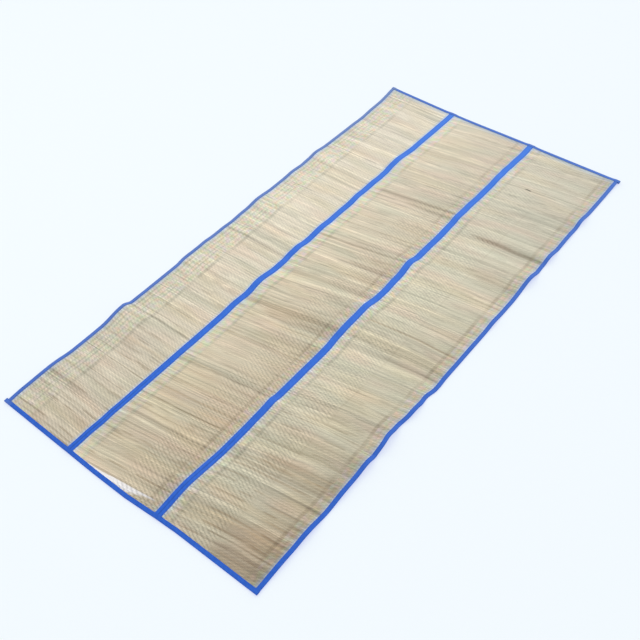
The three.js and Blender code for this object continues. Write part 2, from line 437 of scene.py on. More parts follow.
class Finish:
    """A material, built node by node."""

    def __init__(self, name):
        self.material = bpy.data.materials.new(name)
        self.material.use_nodes = True
        self.nodes = self.material.node_tree.nodes
        self.links = self.material.node_tree.links
        self.shader = self.nodes["Principled BSDF"]

    def feed(self, socket, source):
        if isinstance(source, Value):
            self.links.new(source.socket, socket)
        elif isinstance(source, (int, float)):
            socket.default_value = source
        else:
            socket.default_value = tuple(source) + (1,) * (len(socket.default_value) - len(source))

    def node(self, kind, settings, inputs):
        """Adds a node. Its settings come first, then the values or links of its sockets."""
        made = self.nodes.new(kind)
        for name, setting in settings.items():
            setattr(made, name, setting)
        for key, source in inputs.items():
            self.feed(made.inputs[key], source)
        return made

    def value(self, kind, settings, *inputs):
        """The first output of a new node whose first sockets are given in order."""
        made = self.node(kind, settings, dict(enumerate(inputs)))
        return Value(self, made.outputs[0])

    def vector(self, x, y, z=0):
        return self.value("ShaderNodeCombineXYZ", {}, x, y, z)

    def parts(self, vector):
        made = self.node("ShaderNodeSeparateXYZ", {}, {0: vector})
        return [Value(self, output) for output in made.outputs]

    def attribute(self, name):
        made = self.node("ShaderNodeAttribute", {"attribute_name": name}, {})
        return Value(self, made.outputs["Vector"])

    def object_place(self):
        """The point's place in the mat's own frame, in metres."""
        return Value(self, self.node("ShaderNodeTexCoord", {}, {}).outputs["Object"])

    def noise(self, vector, scale, detail):
        """Soft noise from 0 to 1."""
        inputs = {"Vector": vector, "Scale": scale, "Detail": detail}
        return Value(self, self.node("ShaderNodeTexNoise", {}, inputs).outputs[0])

    def lots(self, vector):
        """Three even random numbers for each different vector."""
        made = self.node("ShaderNodeTexWhiteNoise", {"noise_dimensions": "3D"}, {"Vector": vector})
        return self.parts(Value(self, made.outputs["Color"]))

    def mixed(self, factor, first, second):
        """Two colours mixed."""
        inputs = {0: factor, 6: first, 7: second}
        made = self.node("ShaderNodeMix", {"data_type": "RGBA"}, inputs)
        return Value(self, made.outputs[2])

    def scaled(self, colour, factor):
        """A colour made lighter or darker."""
        made = self.node("ShaderNodeVectorMath", {"operation": "SCALE"}, {0: colour, "Scale": factor})
        return Value(self, made.outputs[0])

    def bump(self, height, distance):
        inputs = {"Height": height, "Distance": distance, "Strength": 1}
        return Value(self, self.node("ShaderNodeBump", {}, inputs).outputs[0])

    def done(self, **sockets):
        """Feeds the shader's sockets, which are named in small letters, and gives the material."""
        by_name = {socket.name.lower().replace(" ", "_"): socket for socket in self.shader.inputs}
        for name, source in sockets.items():
            self.feed(by_name[name], source)
        return self.material


# ---------------------------------------------------------------- straw


# Each strip: the lines it lies between, how wide the bands of turned-in straw ends are on its
# two sides, its colour, and the seed of what is random in it
STRIPS = table(
    ("name", "left", "right", "left_band", "right_band", "colour", "seed"),
    ("strip_left", "left_edge", "left_seam", 80, 8, "straw_pale", 11),
    ("strip_middle", "left_seam", "right_seam", 40, 33, "straw_warm", 12),
    ("strip_right", "right_seam", "right_edge", 30, 32, "straw_grey", 13),
)

# How much lighter than the rest a strip's two sides are, as painted light and shade from the left,
# how much lighter its two bands are, the colour that the left band turns to and how far it does
SHADES = table(
    ("strip", "left_side", "right_side", "left_band", "right_band", "tint", "tinted"),
    ("strip_left", 0.0, -0.01, 0.01, 0.0, "straw_ends", 0.6),
    ("strip_middle", 0.05, -0.11, 0.09, -0.02, "straw_green", 0.5),
    ("strip_right", 0.05, -0.11, 0.03, -0.03, "straw_green", 0.4),
)

# Slant and strength of the steps in which straws pass under the warp, on each strip's two halves.
# Above 0 they slant back towards the near end as they go right, below 0 towards the far end.
TWILLS = table(
    ("strip", "left_half", "right_half"),
    ("strip_left", 0.55, 0.55),
    ("strip_middle", -0.3, 0.9),
    ("strip_right", 1.0, -0.4),
)

# Length of one of these steps along a straw, and the share of it that the next straw is behind
TWILL_REPEAT = 16.7
TWILL_STEP = 0.275

# How far from the middle of the strip one half's slant has turned into the other's
TWILL_TURN = 22

# How much lighter the straw is at places along the mat, as painted shade towards the near end and
# painted light towards the far end, and how much browner the straw is there
PAINTED_LIGHT_AND_BROWNING_ALONG = table(
    ("along", "light", "warm"),
    (0, -0.17, 0.34),
    (250, -0.09, 0.20),
    (700, 0.0, 0.06),
    (1300, 0.055, 0.0),
    (1800, 0.055, 0.0),
)

# How far along the mat a straw runs for each step to the right, at places along each strip
LEANS = table(
    ("along", "strip_left", "strip_middle", "strip_right"),
    (0, 0.02, 0.12, 0.14),
    (300, 0.03, 0.14, 0.16),
    (640, 0.035, 0.16, 0.16),
    (820, 0.03, 0.17, 0.11),
    (1040, 0.03, 0.15, 0.13),
    (1320, 0.035, 0.12, 0.08),
    (1500, 0.04, 0.13, 0.12),
    (1800, 0.03, 0.15, 0.14),
)

# How strongly a straw bows. Its middle lies farther along the mat than its two ends do.
STRAW_BOW = 0.00015

# The slow waves of a straw's course: how far each takes it, and how far across and along the mat
# the wave goes for each radian
SWAYS = table(
    ("reach", "across", "along"),
    (0.7, 37, 61),
    (0.4, 16, -43),
)

# Lines along a strip where its straws are held closer: where they lie across the mat, how far
# they spread to each side, how much darker the straw is there, and the colour it turns to
HELD_LINES = table(
    ("strip", "across", "width", "dark", "tint"),
    ("strip_left", -356, 8, 0.13, "straw_green"),
    ("strip_left", -371, 4, 0.07, "straw_green"),
    ("strip_left", -386, 4, 0.12, "straw_green"),
    ("strip_left", -398, 4, 0.12, "straw_green"),
    ("strip_left", -413, 4, 0.11, "straw_green"),
    ("strip_left", -426, 5, 0.15, "straw_green"),
    ("strip_middle", -148, 8, 0.13, "straw_green"),
    ("strip_middle", 78, 8, 0.10, "straw_brown"),
    ("strip_right", 163, 8, 0.14, "straw_green"),
    ("strip_right", 287, 4, 0.04, "straw_brown"),
    ("strip_right", 404, 8, 0.13, "straw_brown"),
    ("strip_right", 422, 4, 0.05, "straw_brown"),
)

# Bundles of straw that stand out, and dark bands of painted shade along some creases and ridge
# flanks: at is their place along the middle of the strip, half how far they spread to each side,
# start and end the shares of the strip's width that they cross, light how much lighter they are
# than the rest and warm how much browner
STREAKS = table(
    ("strip", "at", "half", "start", "end", "light", "warm"),
    ("strip_left", 142, 18, 0.0, 0.5, -0.14, 0.0),
    ("strip_left", 153, 5, 0.0, 1.0, -0.15, 0.0),
    ("strip_left", 194, 3, 0.0, 1.0, -0.15, 0.0),
    ("strip_left", 335, 9, 0.0, 0.6, -0.09, 0.0),
    ("strip_left", 365, 9, 0.2, 1.0, 0.04, 0.4),
    ("strip_left", 401, 3, 0.0, 1.0, 0.09, 0.0),
    ("strip_left", 462, 4, 0.0, 1.0, -0.16, 0.0),
    ("strip_left", 470, 4, 0.0, 1.0, 0.23, 0.0),
    ("strip_left", 565, 45, 0.2, 1.0, 0.06, 0.0),
    ("strip_left", 678, 12, 0.2, 1.0, 0.14, 0.0),
    ("strip_left", 718, 18, 0.0, 1.0, 0.10, 0.0),
    ("strip_left", 882, 5, 0.0, 1.0, -0.19, 0.1),
    ("strip_left", 893, 4, 0.0, 1.0, 0.14, 0.0),
    ("strip_left", 932, 8, 0.0, 1.0, -0.08, 0.0),
    ("strip_left", 1020, 8, 0.0, 0.8, 0.09, 0.0),
    ("strip_left", 1090, 40, 0.0, 0.6, 0.09, 0.0),
    ("strip_left", 1195, 20, 0.0, 0.7, 0.10, 0.0),
    ("strip_left", 1331, 18, 0.0, 0.3, 0.12, 0.0),
    ("strip_left", 1469, 9, 0.0, 1.0, 0.11, 0.0),
    ("strip_left", 1489, 7, 0.0, 1.0, -0.12, 0.0),
    ("strip_left", 1566, 20, 0.0, 1.0, 0.08, 0.0),
    ("strip_left", 1596, 9, 0.0, 1.0, -0.09, 0.0),
    ("strip_left", 1754, 16, 0.0, 0.8, -0.08, 0.0),
    ("strip_middle", 60, 45, 0.0, 0.8, 0.16, 0.0),
    ("strip_middle", 84, 3, 0.1, 1.0, -0.20, 0.2),
    ("strip_middle", 130, 160, 0.0, 0.1, -0.07, 0.0),
    ("strip_middle", 176, 3, 0.0, 1.0, -0.20, 0.2),
    ("strip_middle", 212, 3, 0.1, 1.0, -0.22, 0.2),
    ("strip_middle", 223, 4, 0.0, 1.0, 0.14, 0.0),
    ("strip_middle", 250, 24, 0.1, 0.8, 0.09, 0.0),
    ("strip_middle", 290, 150, 0.6, 1.0, 0.06, 0.25),
    ("strip_middle", 297, 5, 0.0, 1.0, 0.13, 0.4),
    ("strip_middle", 322, 4, 0.0, 1.0, -0.22, 0.5),
    ("strip_middle", 431, 8, 0.0, 1.0, -0.14, 0.1),
    ("strip_middle", 490, 40, 0.0, 0.7, 0.07, 0.0),
    ("strip_middle", 618, 22, 0.4, 1.0, -0.12, 0.1),
    ("strip_middle", 660, 13, 0.4, 1.0, 0.13, 0.3),
    ("strip_middle", 692, 16, 0.3, 1.0, -0.09, 0.3),
    ("strip_middle", 717, 10, 0.0, 1.0, -0.18, 0.4),
    ("strip_middle", 846, 13, 0.0, 1.0, 0.15, 0.0),
    ("strip_middle", 875, 11, 0.0, 1.0, -0.16, 0.1),
    ("strip_middle", 906, 12, 0.0, 0.4, -0.13, 0.0),
    ("strip_middle", 922, 11, 0.0, 1.0, 0.10, 0.0),
    ("strip_middle", 985, 10, 0.55, 1.0, -0.17, 0.3),
    ("strip_middle", 1052, 7, 0.0, 1.0, -0.14, 0.2),
    ("strip_middle", 1072, 16, 0.4, 1.0, -0.10, 0.0),
    ("strip_middle", 1115, 24, 0.0, 0.8, 0.08, 0.0),
    ("strip_middle", 1213, 16, 0.6, 1.0, -0.10, 0.0),
    ("strip_middle", 1281, 10, 0.2, 1.0, 0.13, 0.0),
    ("strip_middle", 1311, 6, 0.5, 1.0, -0.17, 0.1),
    ("strip_middle", 1330, 8, 0.1, 1.0, -0.26, 0.3),
    ("strip_middle", 1368, 20, 0.4, 1.0, -0.10, 0.0),
    ("strip_middle", 1406, 12, 0.0, 0.35, -0.10, 0.0),
    ("strip_middle", 1548, 14, 0.0, 1.0, 0.08, 0.0),
    ("strip_middle", 1593, 14, 0.0, 1.0, -0.11, 0.0),
    ("strip_middle", 1728, 26, 0.0, 0.6, 0.07, 0.0),
    ("strip_right", 22, 30, 0.55, 1.0, -0.16, 0.3),
    ("strip_right", 72, 16, 0.0, 0.35, 0.22, 0.0),
    ("strip_right", 90, 34, 0.1, 1.0, -0.04, 0.4),
    ("strip_right", 150, 150, 0.7, 1.0, 0.06, 0.35),
    ("strip_right", 190, 230, 0.88, 1.0, -0.07, 0.0),
    ("strip_right", 229, 4, 0.6, 1.0, -0.19, 0.1),
    ("strip_right", 257, 5, 0.1, 0.8, -0.14, 0.4),
    ("strip_right", 291, 10, 0.2, 0.9, 0.09, 0.0),
    ("strip_right", 292, 16, 0.0, 0.1, -0.12, 0.0),
    ("strip_right", 300, 34, 0.3, 1.0, -0.06, 0.5),
    ("strip_right", 386, 14, 0.3, 1.0, -0.09, 0.0),
    ("strip_right", 452, 16, 0.3, 1.0, 0.11, 0.0),
    ("strip_right", 493, 7, 0.2, 1.0, -0.15, 0.0),
    ("strip_right", 519, 6, 0.0, 1.0, -0.19, 0.0),
    ("strip_right", 584, 24, 0.0, 1.0, 0.09, 0.0),
    ("strip_right", 604, 6, 0.0, 1.0, 0.14, 0.0),
    ("strip_right", 718, 17, 0.2, 1.0, 0.16, 0.0),
    ("strip_right", 737, 5, 0.5, 1.0, -0.16, 0.1),
    ("strip_right", 770, 11, 0.1, 1.0, -0.14, 0.1),
    ("strip_right", 839, 4, 0.0, 1.0, -0.18, 0.6),
    ("strip_right", 888, 7, 0.0, 1.0, 0.13, 0.0),
    ("strip_right", 975, 18, 0.0, 1.0, 0.11, 0.0),
    ("strip_right", 1006, 11, 0.0, 0.5, 0.10, 0.0),
    ("strip_right", 1050, 75, 0.0, 1.0, 0.08, 0.0),
    ("strip_right", 1150, 18, 0.6, 1.0, -0.11, 0.0),
    ("strip_right", 1257, 14, 0.3, 1.0, 0.08, 0.0),
    ("strip_right", 1298, 12, 0.1, 0.8, -0.11, 0.0),
    ("strip_right", 1307, 9, 0.3, 1.0, -0.29, 0.5),
    ("strip_right", 1340, 12, 0.2, 1.0, 0.11, 0.0),
    ("strip_right", 1368, 22, 0.0, 1.0, -0.10, 0.0),
    ("strip_right", 1455, 20, 0.0, 0.35, -0.08, 0.0),
    ("strip_right", 1480, 26, 0.4, 1.0, -0.12, 0.0),
    ("strip_right", 1492, 13, 0.0, 0.5, -0.10, 0.0),
    ("strip_right", 1506, 4, 0.6, 1.0, -0.18, 0.0),
    ("strip_right", 1560, 30, 0.4, 1.0, -0.07, 0.0),
)

# Soft creases between the tapes, over the main ridges: at is the crease's place at the middle
# of the strip, near and far how far it spreads, left and right its height on the two sides
CREASES = table(
    ("strip", "at", "near", "far", "left", "right"),
    ("strip_left", 468, 10, 30, 1.0, 1.6),
    ("strip_left", 890, 10, 26, 1.4, 0.8),
    ("strip_middle", 331, 11, 26, 1.2, 1.2),
    ("strip_middle", 734, 30, 34, 1.2, 1.0),
    ("strip_middle", 888, 14, 34, 1.6, 1.8),
    ("strip_middle", 1000, 14, 34, 0.2, 1.6),
    ("strip_middle", 1340, 14, 30, 0.8, 2.2),
    ("strip_right", 528, 12, 24, 1.0, 1.6),
    ("strip_right", 742, 12, 30, 0.6, 2.0),
    ("strip_right", 1320, 14, 34, 1.2, 3.2),
    ("strip_right", 1512, 10, 30, 0.6, 1.8),
)

# The straws at the near end of one strip are glossy, and a painted highlight makes them whitish.
# Across the strip, near and far are where along the mat the shiny patch starts and ends.
SHINE_STRIP = "strip_middle"
SHINE = table(
    ("across", "near", "far"),
    (-172, 11, 12),
    (-100, 11, 15),
    (-66, 11, 19),
    (-46, 11, 24),
    (-5, 11, 29),
    (20, 15, 32),
    (42, 24, 34),
    (62, 31, 36),
    (92, 34, 38),
)

# A small dark knot in one strip's straw
KNOT_STRIP = "strip_right"
KNOT = {"across": 235, "along": 1586, "half_width": 12, "half_length": 3.6, "dark": 0.72}

# How far the painted blue light, bounced from the tapes, reaches into the straw beside them
BOUNCE_REACH = 11

# The straw right beside the tapes is paler: how far from them it stops, how far from them it is
# full, and how much of it there is
PALE_EDGE_GONE = 4
PALE_EDGE_FULL = 2
PALE_EDGE_COVER = 0.3

# How wide the thinnest and the thickest straws are, against the mean
STRAW_WIDTHS = (0.72, 1.28)

# How far the rows of straw go on past the mat's ends before they are cut
ROW_MARGIN = 8

# How far the straws' crowns stand over the strip's thickness, and the share of the relief that
# its underside has
CROWN = 0.1
UNDER_RELIEF = 0.8

# How much thicker the bands of turned-in ends are, and over how far they rise at their inner side
# and beside the tapes
BAND_SWELL = 0.45
BAND_SHOULDER = 3
BAND_RISE = 5

# Over how far the creases come up from the tapes
CREASE_RISE = 26

# Each row of straw has points across it: some at these steps from the tapes, the others about this
# far apart, and none closer than this
SIDE_STEPS = (0, BAND_RISE, 11, STRAW_DROP)
COLUMN_SPACING = 19
COLUMN_CLOSEST = 2

# Over how far the tone of a band changes into its strip's, and its colour does
BAND_FADE = 4
BAND_BLUR = 6

# Straw browns more on a strip's right side: how much it does on the left, and what the right adds
LEFT_WARMTH = 0.6
WARMTH_GAIN = 0.8

# Shares of a streak's half width at which it starts to fade and is gone, and how far it fades
# outside and inside its two ends, as shares of the strip's width
STREAK_FULL = 0.3
STREAK_GONE = 1.15
FADE_OUTSIDE = 0.12
FADE_INSIDE = 0.04

# How far outside its edge the shine starts and how far inside it is full, and over how far it
# fades at its right end
SHINE_EDGE = (-1.5, 2)
SHINE_FADE = 12


def rows_of(strip, rows):
    """The rows of a table that are about one strip."""
    return [row for row in rows if row["strip"] == strip["name"]]


def strip_sides(strip):
    """Where the strip's straw starts and ends across the mat."""
    left, right = LINE[strip["left"]], LINE[strip["right"]]
    left_gap = TAPE_LAYER if left is LINES[0] else TAPE_THICKNESS / 2 + CLEARANCE
    right_gap = TAPE_LAYER if right is LINES[-1] else TAPE_THICKNESS / 2 + CLEARANCE
    return left["across"] + left_gap, right["across"] - right_gap


def open_sides(strip):
    """Where the tapes stop covering the strip."""
    left, right = LINE[strip["left"]], LINE[strip["right"]]
    return (
        left["across"] + left["reach"] + CLEARANCE,
        right["across"] - right["reach"] - CLEARANCE,
    )


def strip_columns(strip):
    """Places across a strip for its rows' points: closer at its sides and band lines."""
    start, end = strip_sides(strip)
    left, right = open_sides(strip)
    close = [left + step for step in SIDE_STEPS] + [right - step for step in SIDE_STEPS]
    bands = [left + strip["left_band"], right - strip["right_band"]]
    close += [band + side for band in bands for side in (-BAND_SHOULDER, 0, BAND_SHOULDER)]
    lines = column(rows_of(strip, HELD_LINES), "across")
    fixed = sorted({start, end, *close, *lines})
    kept = [fixed[0]]
    for across in fixed[1:]:
        if across - kept[-1] >= COLUMN_CLOSEST:
            kept.append(across)
    kept[-1] = end
    filled = []
    for before, after in zip(kept, kept[1:]):
        count = max(1, round((after - before) / COLUMN_SPACING))
        filled += [before + (after - before) * i / count for i in range(count)]
    return np.array(filled + [end])


def straw_rows(strip, straw_width, reach_past):
    """Edges and middles of the straws, in turn, as places along the middle of the strip."""
    draw = np.random.default_rng(strip["seed"])
    count = int((MAT_LENGTH + 2 * reach_past) / straw_width)
    widths = draw.uniform(*STRAW_WIDTHS, count)
    edges = np.concatenate([[0], np.cumsum(widths / widths.sum())])
    edges = -reach_past + edges * (MAT_LENGTH + 2 * reach_past)
    rows = np.empty(2 * count + 1)
    rows[0::2] = edges
    rows[1::2] = (edges[1:] + edges[:-1]) / 2
    return rows


def straw_course(strip, across, at):
    """Where along the mat a straw lies, given its place at the middle of the strip."""
    start, end = strip_sides(strip)
    offset = across - (start + end) / 2
    lean = follow(LEANS, "along", at, strip["name"])
    bow = STRAW_BOW * ((end - start) ** 2 / 12 - offset**2)
    waves = [wave["reach"] * np.sin(offset / wave["across"] + at / wave["along"]) for wave in SWAYS]
    return at + lean * offset + bow + sum(waves)


def crease_height(strip, across, at):
    """Height of the soft creases, which run with the straws and end at the tapes."""
    left, right = open_sides(strip)
    t = share(across, left, right)
    from_left = smooth(share(across, left, left + CREASE_RISE))
    from_right = smooth(share(across, right, right - CREASE_RISE))
    total = np.zeros(len(across))
    for crease in rows_of(strip, CREASES):
        spread = np.where(at < crease["at"], crease["near"], crease["far"])
        height = crease["left"] + (crease["right"] - crease["left"]) * t
        total += height * swell(at - crease["at"], spread)
    return total * from_left * from_right


def straw_lift(strip, across):
    """The straw rests on the tapes' lower halves, and comes down to the floor beside them."""
    left, right = open_sides(strip)
    by_left = 1 - smooth(share(across, left, left + STRAW_DROP))
    by_right = 1 - smooth(share(across, right, right - STRAW_DROP))
    return TAPE_LAYER * np.maximum(by_left, by_right)


def band_swell(strip, across):
    """The straws lie double in the bands beside the tapes, up to a line that holds them."""
    left, right = open_sides(strip)
    inner_left, inner_right = left + strip["left_band"], right - strip["right_band"]
    in_left = 1 - smooth(share(across, inner_left - BAND_SHOULDER, inner_left))
    in_right = smooth(share(across, inner_right, inner_right + BAND_SHOULDER))
    from_left = smooth(share(across, left, left + BAND_RISE))
    from_right = smooth(share(across, right, right - BAND_RISE))
    return BAND_SWELL * np.maximum(in_left, in_right) * from_left * from_right


def crossed(t, start, end):
    """1 between two shares of a strip's width, faded beyond them."""
    from_start = smooth(share(t, start - FADE_OUTSIDE, start + FADE_INSIDE))
    from_end = smooth(share(t, end + FADE_OUTSIDE, end - FADE_INSIDE))
    return from_start * from_end


def streak_tone(strip, t, at):
    """How much lighter and browner the streaks make the straw."""
    light, warm = np.zeros(len(at)), np.zeros(len(at))
    for streak in rows_of(strip, STREAKS):
        away = np.abs(at - streak["at"]) / streak["half"]
        near = 1 - smooth(share(away, STREAK_FULL, STREAK_GONE))
        near = near * crossed(t, streak["start"], streak["end"])
        light += near * streak["light"]
        warm += near * streak["warm"]
    return light, warm


def shine_and_painted_highlight(strip, across, along):
    """1 on the shiny straws, which also get a painted highlight, 0 elsewhere."""
    if strip["name"] != SHINE_STRIP:
        return np.zeros(len(across))
    from_near = along - follow(SHINE, "across", across, "near")
    to_far = follow(SHINE, "across", across, "far") - along
    right_end = SHINE[-1]["across"]
    inside = smooth(share(np.minimum(from_near, to_far), *SHINE_EDGE))
    return inside * smooth(share(across, right_end, right_end - SHINE_FADE))


def straw_tone(strip, across, at, along):
    """How much lighter and browner the straw is than its strip's own colour, and its shine."""
    left, right = open_sides(strip)
    inner_left, inner_right = left + strip["left_band"], right - strip["right_band"]
    in_left = 1 - smooth(share(across, inner_left - BAND_FADE, inner_left))
    in_right = smooth(share(across, inner_right, inner_right + BAND_FADE))
    t = share(across, left, right)
    shades = rows_of(strip, SHADES)[0]
    # Painted light and shade: each strip is lighter on its left side and darker on its right
    sides = shades["left_side"] + (shades["right_side"] - shades["left_side"]) * t
    bands = shades["left_band"] * in_left + shades["right_band"] * in_right
    streak_light, streak_warm = streak_tone(strip, t, at)
    # Painted shade towards the near end and painted light towards the far end
    light = sides + bands + follow(PAINTED_LIGHT_AND_BROWNING_ALONG, "along", along, "light") + streak_light
    warm = follow(PAINTED_LIGHT_AND_BROWNING_ALONG, "along", along, "warm") * (LEFT_WARMTH + WARMTH_GAIN * t) + streak_warm
    return light, warm, shine_and_painted_highlight(strip, across, along)


def new_object(name, mesh):
    made = bpy.data.objects.new(name, mesh)
    bpy.context.scene.collection.objects.link(made)
    return made


def make_sheet(name, points, faces, attributes, material):
    """A closed sheet from points in millimetres. attributes hold a vector for each point."""
    mesh = bpy.data.meshes.new(name)
    mesh.from_pydata(points * MM, [], faces)
    for key, vectors in attributes.items():
        layer = mesh.attributes.new(key, "FLOAT_VECTOR", "POINT")
        layer.data.foreach_set("vector", np.ascontiguousarray(vectors, np.float32).ravel())
    mesh.materials.append(material)
    return new_object(name, mesh)


def face_outwards(mesh, sharp_angle):
    """Turns the faces of a closed mesh outwards, and smooths all but the sharp edges."""
    shell = bmesh.new()
    shell.from_mesh(mesh)
    bmesh.ops.recalc_face_normals(shell, faces=shell.faces)
    if shell.calc_volume(signed=True) < 0:
        bmesh.ops.reverse_faces(shell, faces=shell.faces)
    for face in shell.faces:
        face.smooth = True
    for edge in shell.edges:
        edge.smooth = edge.calc_face_angle(0) < sharp_angle
    shell.to_mesh(mesh)
    shell.free()


def sheet_faces(count, size):
    """Faces of a closed sheet of count rows of size points, all its underside's before its top's."""
    grid = np.arange(count * size).reshape(count, size)
    corners = [grid[:-1, :-1], grid[:-1, 1:], grid[1:, 1:], grid[1:, :-1]]
    under = np.stack([corner.ravel() for corner in corners], 1)
    top = under[:, ::-1] + count * size
    rim = np.concatenate([grid[0], grid[1:, -1], grid[-1, -2::-1], grid[-2:0:-1, 0]])
    after = np.roll(rim, -1)
    walls = np.stack([after, rim, rim + count * size, after + count * size], 1)
    return np.concatenate([under, top, walls]).tolist()


def woven_strip(strip, sizes, material):
    """A strip of straw, woven flat, cut square at both ends and then laid as it lies."""
    columns = strip_columns(strip)
    width = columns[-1] - columns[0]
    reach_past = width / 2 * max(column(LEANS, strip["name"])) + ROW_MARGIN
    rows = straw_rows(strip, sizes.straw_width / MM, reach_past)
    count, size = len(rows), len(columns)
    at, across = [grid.ravel() for grid in np.meshgrid(rows, columns, indexing="ij")]
    along = straw_course(strip, across, at)

    in_valley = np.repeat(np.arange(count) % 2 == 0, size)
    sunk = in_valley * sizes.straw_relief / MM
    low = straw_lift(strip, across) + crease_height(strip, across, at) + sunk * UNDER_RELIEF
    doubled = band_swell(strip, across)
    high = low + STRAW_THICKNESS + CROWN + doubled - sunk * (1 + UNDER_RELIEF)
    flat = np.concatenate([np.stack([across, along, height], 1) for height in (low, high)])

    straw_number = np.repeat(np.arange(count) / 2, size)
    weave = np.tile(np.stack([across, straw_number, along], 1), (2, 1))
    tone = np.tile(np.stack(straw_tone(strip, across, at, along), 1), (2, 1))
    attributes = {"weave": weave, "tone": tone}
    piece = make_sheet(strip["name"] + "_woven", flat, sheet_faces(count, size), attributes, material)
    cut_square(piece.data)
    lay_down(piece.data)
    face_outwards(piece.data, math.radians(62))
    return piece


def cut_square(mesh):
    """Cuts a flat strip off square at both ends of the mat, and closes the cuts."""
    shell = bmesh.new()
    shell.from_mesh(mesh)
    for along, outwards in ((TAPE_LAYER, -1), (MAT_LENGTH - TAPE_LAYER, 1)):
        bmesh.ops.bisect_plane(
            shell,
            geom=shell.verts[:] + shell.edges[:] + shell.faces[:],
            dist=1e-6,
            plane_co=(0, along * MM, 0),
            plane_no=(0, outwards, 0),
            clear_outer=True,
        )
        rim = [edge for edge in shell.edges if edge.is_boundary]
        bmesh.ops.holes_fill(shell, edges=rim, sides=0)
    caps = [face for face in shell.faces if len(face.verts) > 4]
    bmesh.ops.triangulate(shell, faces=caps)
    shell.to_mesh(mesh)
    shell.free()


def mesh_points(mesh):
    points = np.empty(len(mesh.vertices) * 3, np.float32)
    mesh.vertices.foreach_get("co", points)
    return points.reshape(-1, 3).astype(float)


def lay_down(mesh):
    """Moves a mesh's points from (across, along, height) to where they lie."""
    across, along, height = (mesh_points(mesh) / MM).T
    laid = place(across, along, height) * MM
    mesh.vertices.foreach_set("co", np.ascontiguousarray(laid, np.float32).ravel())
    mesh.update()


# The soft noises that vary the straw: how fast each changes along a straw, what it goes by from
# straw to straw, how fast it changes with that, its seed and its detail. straw is the place among
# the straws, number a straw's number, pair a pair's, and along the place along the mat.
NOISES = table(
    ("name", "along_straw", "by", "rate", "seed", "detail"),
    ("stretch", 0.011, "number", 0.83, 0, 2),
    ("bundles", 0.005, "number", 0.52, 3, 1),
    ("swathes", 0.004, "number", 0.11, 4, 1),
    ("fields", 0.005, "straw", 0.045, 5, 0),
    ("rust", 0.005, "number", 0.4, 6, 1),
    ("tints", 0.007, "straw", 0.055, 7, 0),
    ("wander", 0.03, "along", 0.03, 9, 2),
    ("fleck", 0.055, "straw", 0.15, 11, 1),
    ("fleck_hue", 0.045, "straw", 0.13, 13, 1),
    ("taut", 0.02, "along", 0.012, 15, 1),
    ("shown", 0.016, "pair", 0.77, 21, 1),
    ("fibre", 0.06, "straw", 5, 0, 3),
)

# Added to a strip's seed to choose its odd pairs of straws
ODD_SEED = 20

# How the looks change along the mat: between which two places, from what value and by how much.
# In this order: how much the straws vary, how dark the held lines are, how strong the flecks are,
# how brown the odd straws are, how much painted light makes the straw paler far along, how much
# painted blue light, bounced from the tapes, it has beside the long tapes, and how much beside the
# far end's tape.
CHANGES = table(
    ("name", "start", "end", "value", "change"),
    ("contrast", 1500, 400, 1.5, 0.5),
    ("holding", 1700, 700, 0.75, 0.3),
    ("flecked", 0, 900, 0.55, 0.45),
    ("brown_odd", 900, 100, 0.03, 0.18),
    ("bleached", 800, 1700, 0, 0.17),
    ("dyed", 500, 1500, 0.6, 0.16),
    ("far_dyed", 1768, 1788, 0, 0.55),
)

# Colours that a noise lays over a strip's own, in this order: the noise, between which of its
# values the colour comes up, how far it covers, and the colour. The flecks lie in the bands.
PATCHES = table(
    ("noise", "start", "end", "cover", "colour"),
    ("tints", 0.5, 0.75, 0.38, "straw_green"),
    ("tints", 0.5, 0.25, 0.38, "straw_rosy"),
    ("fields", 0.45, 0.75, 0.36, "straw_cream"),
)
FLECKS = table(
    ("noise", "start", "end", "cover", "colour"),
    ("fleck", 0.5, 0.66, 0.5, "fleck_green"),
    ("fleck", 0.5, 0.34, 0.45, "fleck_pink"),
    ("fleck_hue", 0.5, 0.68, 0.35, "fleck_orange"),
    ("fleck_hue", 0.5, 0.32, 0.35, "fleck_lilac"),
)

# How much the lightness varies from straw to straw, along a straw and from bundle to bundle
CONTRASTS = {"own": 0.1, "stretch": 0.2, "bundles": 0.28}

# How much darker or paler an odd pair of straws is
ODD_CONTRAST = 0.17

# How much painted shade darkens the valleys between the straws, how much darker the steps are
# where they pass under the warp, and how much more those steps darken straw that is dark already,
# painted shade included
VALLEY_SHADE = 0.3
STEP_SHADE = 0.15
STEP_SHADE_IN_DARK = 0.9

# The mean of the steps' depth, which leaves the straw as light as without them, and how far
# chance shifts the steps of one straw and bends their rows
MEAN_STEP = 0.33
STEP_CHANCE = 0.22
STEP_WANDER = 1.2


def straw_values(finish, strip):
    """What a strip's colour and relief are worked out from, by name."""
    across, straw, along = finish.parts(finish.attribute("weave"))
    light, warm, shine = finish.parts(finish.attribute("tone"))
    straws = SimpleNamespace(across=across, straw=straw, along=along)
    straws.light, straws.warm, straws.shine = light, warm, shine
    straws.number = straw.math("FLOOR")
    straws.pair = (straw * 0.5).math("FLOOR")
    straws.own, straws.hue, _ = finish.lots(finish.vector(straws.number, strip["seed"]))
    for row in NOISES:
        by = getattr(straws, row["by"]) * row["rate"]
        spot = finish.vector(across * row["along_straw"], by, strip["seed"] + row["seed"])
        setattr(straws, row["name"], finish.noise(spot, 1, row["detail"]))
    for row in CHANGES:
        value = along.ramp(row["start"], row["end"]) * row["change"] + row["value"]
        setattr(straws, row["name"], value)
    return straws


def odd_straws(finish, strip, straws):
    """Pairs of straws that are darker, and pairs that are paler, over stretches of their length."""
    chance = finish.lots(finish.vector(straws.pair, strip["seed"] + ODD_SEED))[0]
    shown = straws.shown.ramp(0.4, 0.6)
    return chance.ramp(0.62, 0.95) * shown, chance.ramp(0.25, 0.02) * shown


